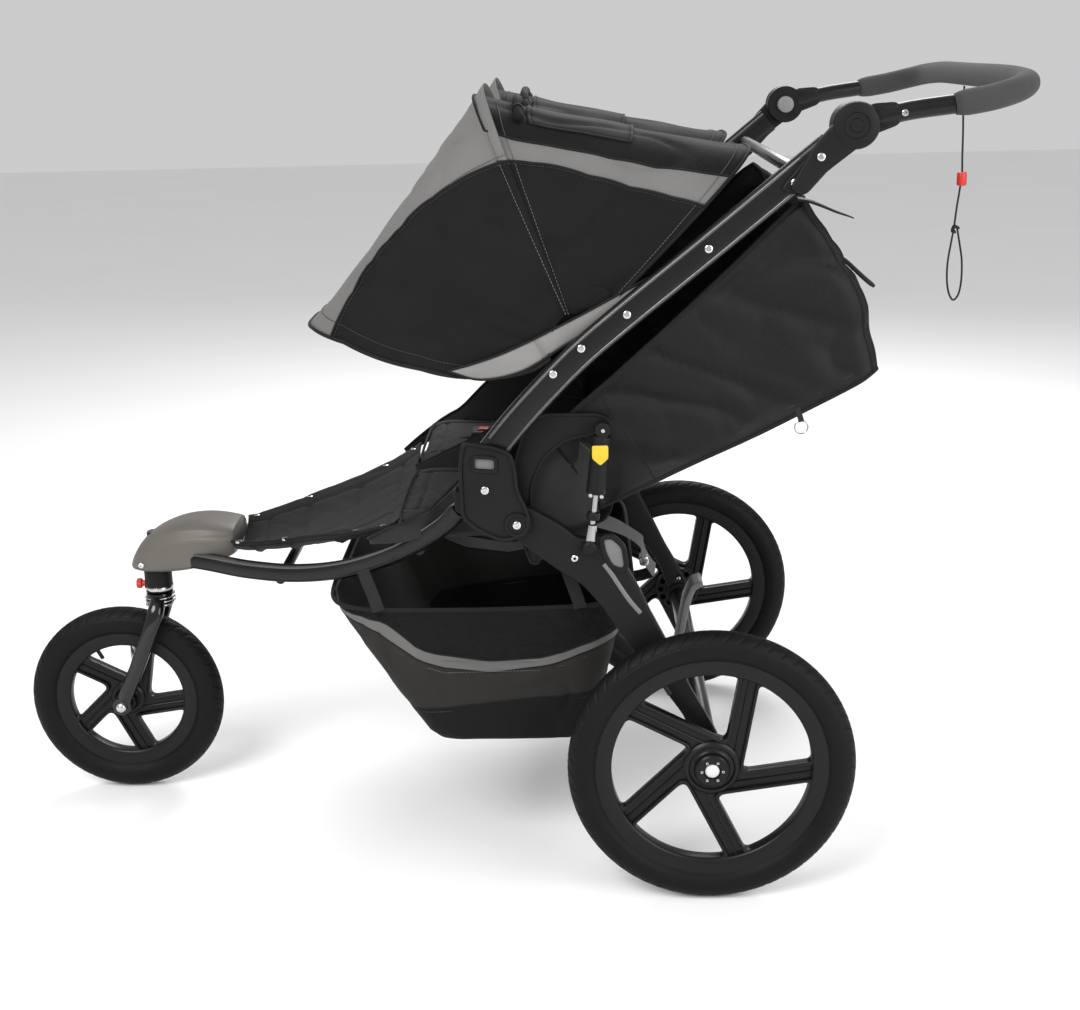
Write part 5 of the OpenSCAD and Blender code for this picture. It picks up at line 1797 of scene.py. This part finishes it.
ROW_COUNTS = (10, 2, 8, 8)
grid = []
for turn in even_turns(AROUND):
    x_top = basket_point(turn, 340)[0]
    scallop = 7 * math.sin(math.pi * (x_top - 96) / 464) * abs(math.sin(turn)) ** 0.3
    top = TOP_Z - 2 - scallop
    levels = [top, min(top - 3, np.interp(x_top, *zip(*STRIP_TOP))), 0, 0, FLOOR_Z + 5]
    levels[2] = min(levels[1] - 2, np.interp(x_top, *zip(*STRIP_LOW)))
    levels[3] = np.interp(x_top, *zip(*FLOOR_BAND))
    z = np.concatenate([np.linspace(levels[i], levels[i + 1], n + 1)[:-1]
                        for i, n in enumerate(ROW_COUNTS)])
    column = [(*basket_point(turn, h), h) for h in z]
    for inset, h in ((0, FLOOR_Z + 5), (3, FLOOR_Z + 1), (8, FLOOR_Z - 1), (40, FLOOR_Z + 1),
            (90, FLOOR_Z + 2), (125, FLOOR_Z + 3)):
        x, y = basket_point(turn, FLOOR_Z, min(inset, 125))
        if inset == 125:
            y = y * 0.55
        column.append((x, y, h))
    grid.append(column)
grid = np.array(grid).transpose(1, 0, 2)
n = grid_normals(np.concatenate([grid, grid[:, :1]], axis=1))[:, :-1]
rows = len(grid)
hold = np.clip(np.minimum(np.arange(rows), np.maximum(rows - 4 - np.arange(rows), 0)) / 3, 0, 1)[:, None]
slump = (2.5 * ripple(grid, 130, 51) + 4.0 * creases(grid, 110, 52)) * hold
centre_way = grid - np.array([320, 0, 300])
centre_way[:, :, 2] = 0
centre_way /= np.maximum(np.linalg.norm(centre_way, axis=2), 1)[:, :, None]
grid = grid - centre_way * (slump + 2.0)[:, :, None]
band_of_row = np.repeat([0, 1, 2, 3, 3], (*ROW_COUNTS, 6))
shell = sheet_piece("basket_cloth", grid, [MESH_CLOTH, STRIP_CLOTH, BAND_CLOTH, BLACK_CLOTH],
                    lambda i, k: band_of_row[i], False, 1.6, inward=True, loop=True)
# The last ring is closed by a plain patch, so that the floor has no hole
patch = piece("basket_floor_patch", grid[-1], [tuple(range(AROUND))], BLACK_CLOTH, sharp=0)
parts = [shell, patch]
loop_edge = np.vstack([grid[0], grid[:1, 0]])
parts.append(closed_cord("basket_binding", loop_edge[:-1], round_section(3.0, 3.0, 10), (0, 0, 1), BINDING))
for row in (ROW_COUNTS[0], ROW_COUNTS[0] + ROW_COUNTS[1], sum(ROW_COUNTS[:3])):
    ring = grid[row] + centre_way[row] * 1.0
    parts.append(closed_cord("basket_seam", ring, round_section(1.5, 1.5, 8), (0, 0, 1), BINDING))
    parts.append(sewn_line("basket_stitch", grid[row + 1][::2] + centre_way[row + 1][::2] * 1.2,
        GREY_THREAD))
basket = joined("basket_cloth", parts)
hand_over(basket, "frame", "basket_cloth", "basket")
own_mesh(basket)
closed_grid = np.concatenate([grid, grid[:, :1]], axis=1)
declare_sheet(basket, line_length(grid[5]), line_length(grid[:, AROUND // 4]), sheet_area(closed_grid))
for name, right in SIDES:
    hanger = []
    for x, z in ((180, 414), (470, 414)):
        top = (x + 20, 282, 470)
        hanger.append(tube("hanger_" + name, smooth_path([[x, 283, z - 6], [x + 6, 284, z + 14],
            [x + 14, 283, z + 38], list(top)], 5),
                           round_section(9, 1.2, 14, 0.5), (0, 1, 0), WEBBING, right))
    hand_over(joined("basket_straps_" + name, hanger), "frame", "webbing")
    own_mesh(bpy.data.objects["basket_straps_" + name])

# %% [markdown]
# ## Cloth behind the seats
# A large black panel hangs from each upper rail, turns a corner and closes the back of the
# seat. It is a ruled sheet between the rail and the seat's edge, bent round a soft corner,
# with long diagonal creases. It is sewn to the rail above and to the reclining seat below.
# The sheet stays where it is made and is attached to neither body.

# %% Rear cloth panels
TOP_LINE = smooth_path([[214, 660], [196, 694], [130, 752], [50, 824], [-40, 908], [-96, 962], [-124, 984]],
    10)
LOW_LINE = smooth_path([[150, 566], [96, 592], [20, 628], [-60, 664], [-140, 704], [-200, 735],
    [-228, 752]], 10)
SIDE_STEPS, REAR_STEPS, HIGH_STEPS = 60, 44, 34
top_line, low_line = even_path(TOP_LINE, SIDE_STEPS), even_path(LOW_LINE, SIDE_STEPS)
v = np.linspace(0, 1, HIGH_STEPS)
v_bulge = np.sin(math.pi * v)
columns = []
for i in range(SIDE_STEPS):
    s = i / (SIDE_STEPS - 1)
    xz = low_line[i] + (top_line[i] - low_line[i]) * v[:, None]
    xz = xz + np.outer(v_bulge, [-26 * s ** 2.5, 2 * s])
    y = 312 - 7 * v_bulge * math.sin(math.pi * min(1, s * 1.05)) - 14 * max(0, (s - 0.93) / 0.07) ** 2
    columns.append(np.stack([xz[:, 0], y, xz[:, 1]], 1))
corner = columns[-1]
for i in range(1, REAR_STEPS + 1):
    s = i / REAR_STEPS
    y = 298 + (6 - 298) * s
    swell = 5 * math.sin(math.pi * s) * v_bulge
    columns.append(np.stack([corner[:, 0] - swell * 0.6 - 1, np.full(HIGH_STEPS, y), corner[:, 2]], 1))
bag = np.array(columns).transpose(1, 0, 2)
n = grid_normals(bag)
inward_way = n if n[HIGH_STEPS // 2, 20, 1] < 0 else -n
hold = np.clip(np.minimum(v, 1 - v) * 10, 0.12, 1)[:, None]
slant = bag @ np.array([[1, 0.2, 0], [0, 1, 0], [0, 0.35, 2.2]])
folds = 9 * creases(slant, 170, 61) + 5 * (0.5 + 0.5 * ripple(bag, 150, 62))
folds = (folds + 3 * creases(bag, 70, 63)) * hold
bag = bag + inward_way * folds[:, :, None]
for name, right in SIDES:
    parts = [one_cloth("seat_bag_cloth_" + name, bag, BAG_CLOTH, right, 1.5,
                         inward=bool(n[HIGH_STEPS // 2, 20, 1] > 0))]
    outward = -inward_way
    parts.append(cord_edge("bag_low_binding", bag[0], 2.6, BINDING, right, (0, 0.1, 1)))
    parts.append(cord_edge("bag_top_binding", bag[-1], 2.2, BINDING, right, (0, 0.1, 1)))
    parts.append(cord_edge("bag_corner_piping", bag[:, SIDE_STEPS - 2] + outward[:, SIDE_STEPS - 2] * 1.4,
        2.2, BINDING, right, (0, 1, 0.1)))
    parts.append(cord_edge("bag_panel_seam", bag[:, 12] + outward[:, 12] * 0.9, 1.4, BINDING, right,
        (0, 1, 0.1)))
    for row in (2, -3):
        parts.append(sewn_line("bag_stitch", bag[row, ::2] + outward[row, ::2] * 0.8, THREAD, right))
    parts.append(sewn_line("bag_seam_stitch", bag[:, 13] + outward[:, 13] * 0.8, GREY_THREAD, right))
    cloth = joined("seat_bag_cloth_" + name, parts)
    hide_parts("seat_bag_" + name)
    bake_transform(cloth)
    declare_sheet(cloth, line_length(bag[HIGH_STEPS // 2]), widest(bag.transpose(1, 0, 2)), sheet_area(bag))

# %% [markdown]
# ## Seat side wings
# Between the bag and the side plate a smaller wing of cloth closes the side of the seat. It
# is sewn to the seat's edge and to the fold hinge, so it stays with the lower frame. A low
# wall of the same cloth stands between the two seats.

# %% Side wings
WING_TOP = smooth_path([[150, 640], [186, 676], [214, 690], [250, 676], [296, 650], [339, 615], [384, 571],
    [409, 556], [457, 527], [484, 508]], 6)
WING_LOW = smooth_path([[152, 548], [190, 534], [226, 532], [262, 531], [298, 530], [334, 529], [372, 528],
    [406, 524], [450, 510], [480, 500]], 6)


def wing_y(xz, s):
    in_side_view = np.stack([xz[:, 0], 0 * xz[:, 0], xz[:, 1]], 1)
    flat = np.interp(xz[:, 0], [425, 484], [307, 252])
    return flat - 4 * math.sin(math.pi * s) - 2.2 * creases(in_side_view, 70, 71)


grid = between(WING_TOP, WING_LOW, 16, wing_y)
for name, right in SIDES:
    parts = [one_cloth("seat_wing_" + name, grid, SEAT_CLOTH, right, 1.4, inward=False),
             cord_edge("wing_binding", grid[0], 2.4, BINDING, right, (0, 1, 0.1)),
             sewn_line("wing_stitch", grid[1] + [0, 1.2, 0], GREY_THREAD, right)]
    wing = joined("seat_wing_" + name, parts)
    hand_over(wing, "frame", "seat_cloth")
    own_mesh(wing)
    declare_sheet(wing, line_length(grid[8]), widest(grid.transpose(1, 0, 2)), sheet_area(grid))

# %% Divider between the seats
DIVIDER_TOP = smooth_path([[148, 594], [160, 636], [194, 652], [240, 640], [300, 612], [360, 582],
    [410, 558], [438, 546]], 5)
DIVIDER_LOW = smooth_path([[150, 548], [160, 534], [200, 530], [250, 530], [300, 530], [350, 530],
    [400, 530], [434, 531]], 5)
grid = between(DIVIDER_TOP, DIVIDER_LOW, 14, lambda xz, s: 2.5 + 3 * ripple(xz[:, [0, 1, 1]], 110, 75))
parts = [one_cloth("seat_divider", grid, SEAT_CLOTH, False, 4.0, inward=False),
         cord_edge("divider_binding", grid[0], 3.4, BINDING, False, (0, 1, 0.1)),
         sewn_line("divider_stitch", grid[1] + [0, 2.4, 0], GREY_THREAD, False)]
divider = joined("seat_divider", parts)
hand_over(divider, "frame", "seat_cloth")
declare_sheet(divider, line_length(grid[7]), widest(grid.transpose(1, 0, 2)), sheet_area(grid))

# %% [markdown]
# ## Buckles, straps and small fittings
# Each seat has a black buckle with a red button on its crotch strap. Behind, a hooked tab and
# a short pull strap stand off the cloth, a small wire ring hangs under its edge, and a grey
# strap with a plated buckle runs down behind the basket.

# %% Buckles
for name, right in SIDES:
    body = block("buckle_body", oblong(317, 553, 359, 565), 135, 183, BLACK_NYLON, right, 3)
    frame_ring = plate("buckle_lip", [rounded(oblong(326, 560, 350, 566), 1.5)], 147, 171, BLACK_NYLON,
        right, 0.8)
    web = tube("crotch_web", smooth_path([[352, 159, 556], [366, 159, 555], [384, 159, 552.5],
        [396, 159, 549]], 5),
               round_section(17, 1.3, 16, 0.5), (0, 0, 1), WEBBING, right)
    case = joined("buckle_case_" + name, [body, frame_ring, web])
    hand_over(case, "frame", "black_plastic", "buckle_" + name)
    button = block("buckle_push_" + name, oblong(328.6, 563.2, 347.4, 567.8), 149.6, 168.4, RED_NYLON,
        right, 1.2)
    hand_over(button, "buckle_button_" + name, "red_plastic", "buckle_button_" + name)

# %% Tabs, ring and straps at the back
hook = tube("canopy_hook_tab", smooth_path([[-112, 318, 984], [-128, 319, 981], [-146, 320, 974],
    [-162, 320, 967], [-176, 320, 962], [-186, 320, 958]], 6),
            round_section(9, 2.0, 18, 0.6), (0.3, 0, 1), BLACK_NYLON,
            sizes=np.interp(np.arange(31), [0, 20, 30], [1.2, 0.8, 0.4]))
hand_over(hook, "upper_frame", "webbing")
tab = tube("recline_pull_tab", smooth_path([[-178, 250, 900], [-190, 250, 892], [-203, 250, 880],
    [-216, 250, 868], [-228, 250, 858]], 6),
           round_section(14, 3.0, 20, 0.6), (0.3, 0, 1), WEBBING,
           sizes=np.interp(np.arange(25), [0, 3, 22, 24], [0.8, 1, 1.1, 0.8]))
hand_over(tab, "upper_frame", "webbing")
turn = even_turns(40)
ring_path = np.stack([-125 + 9 * np.cos(turn), np.full(40, 313.0), 676 + 9 * np.sin(turn)], 1)
ring = closed_cord("bag_wire_ring", ring_path, round_section(1.1, 1.1, 10), (0, 1, 0), STEEL)
ring_loop = tube("ring_loop", smooth_path([[-119, 311, 702], [-122, 313, 694], [-125, 314, 684]], 4),
    round_section(4, 0.9, 12, 0.5),
                 (0, 1, 0), WEBBING)
hand_over(joined("bag_wire_ring", [ring, ring_loop]), "seat_back_left", "bright_metal")
red = tube("red_pull_strap", smooth_path([[205, 0, 520], [206, 1, 470], [204, -1, 420], [206, 0, 370],
    [205, 0, 345]], 6),
           round_section(9, 1.2, 14, 0.5), (1, 0, 0), RED_WEBBING)
hand_over(red, "frame", "webbing")

# %% Grey strap behind the basket
strap = tube("grey_fold_strap", smooth_path([[160, 226, 524], [122, 213, 506], [91, 200, 481],
    [88, 182, 462], [80, 150, 435], [70, 118, 410],
                                              [66, 100, 399], [80, 86, 388], [101, 76, 380]], 6),
             round_section(11, 1.2, 14, 0.5), (1, 0, 0.2), GREY_WEBBING)
buckle = block("fold_strap_buckle", oblong(77, 428, 91, 444), 142, 166, ZINC, False, 2)
hand_over(joined("grey_fold_strap", [strap, buckle]), "frame", "webbing")
print("small fittings made")
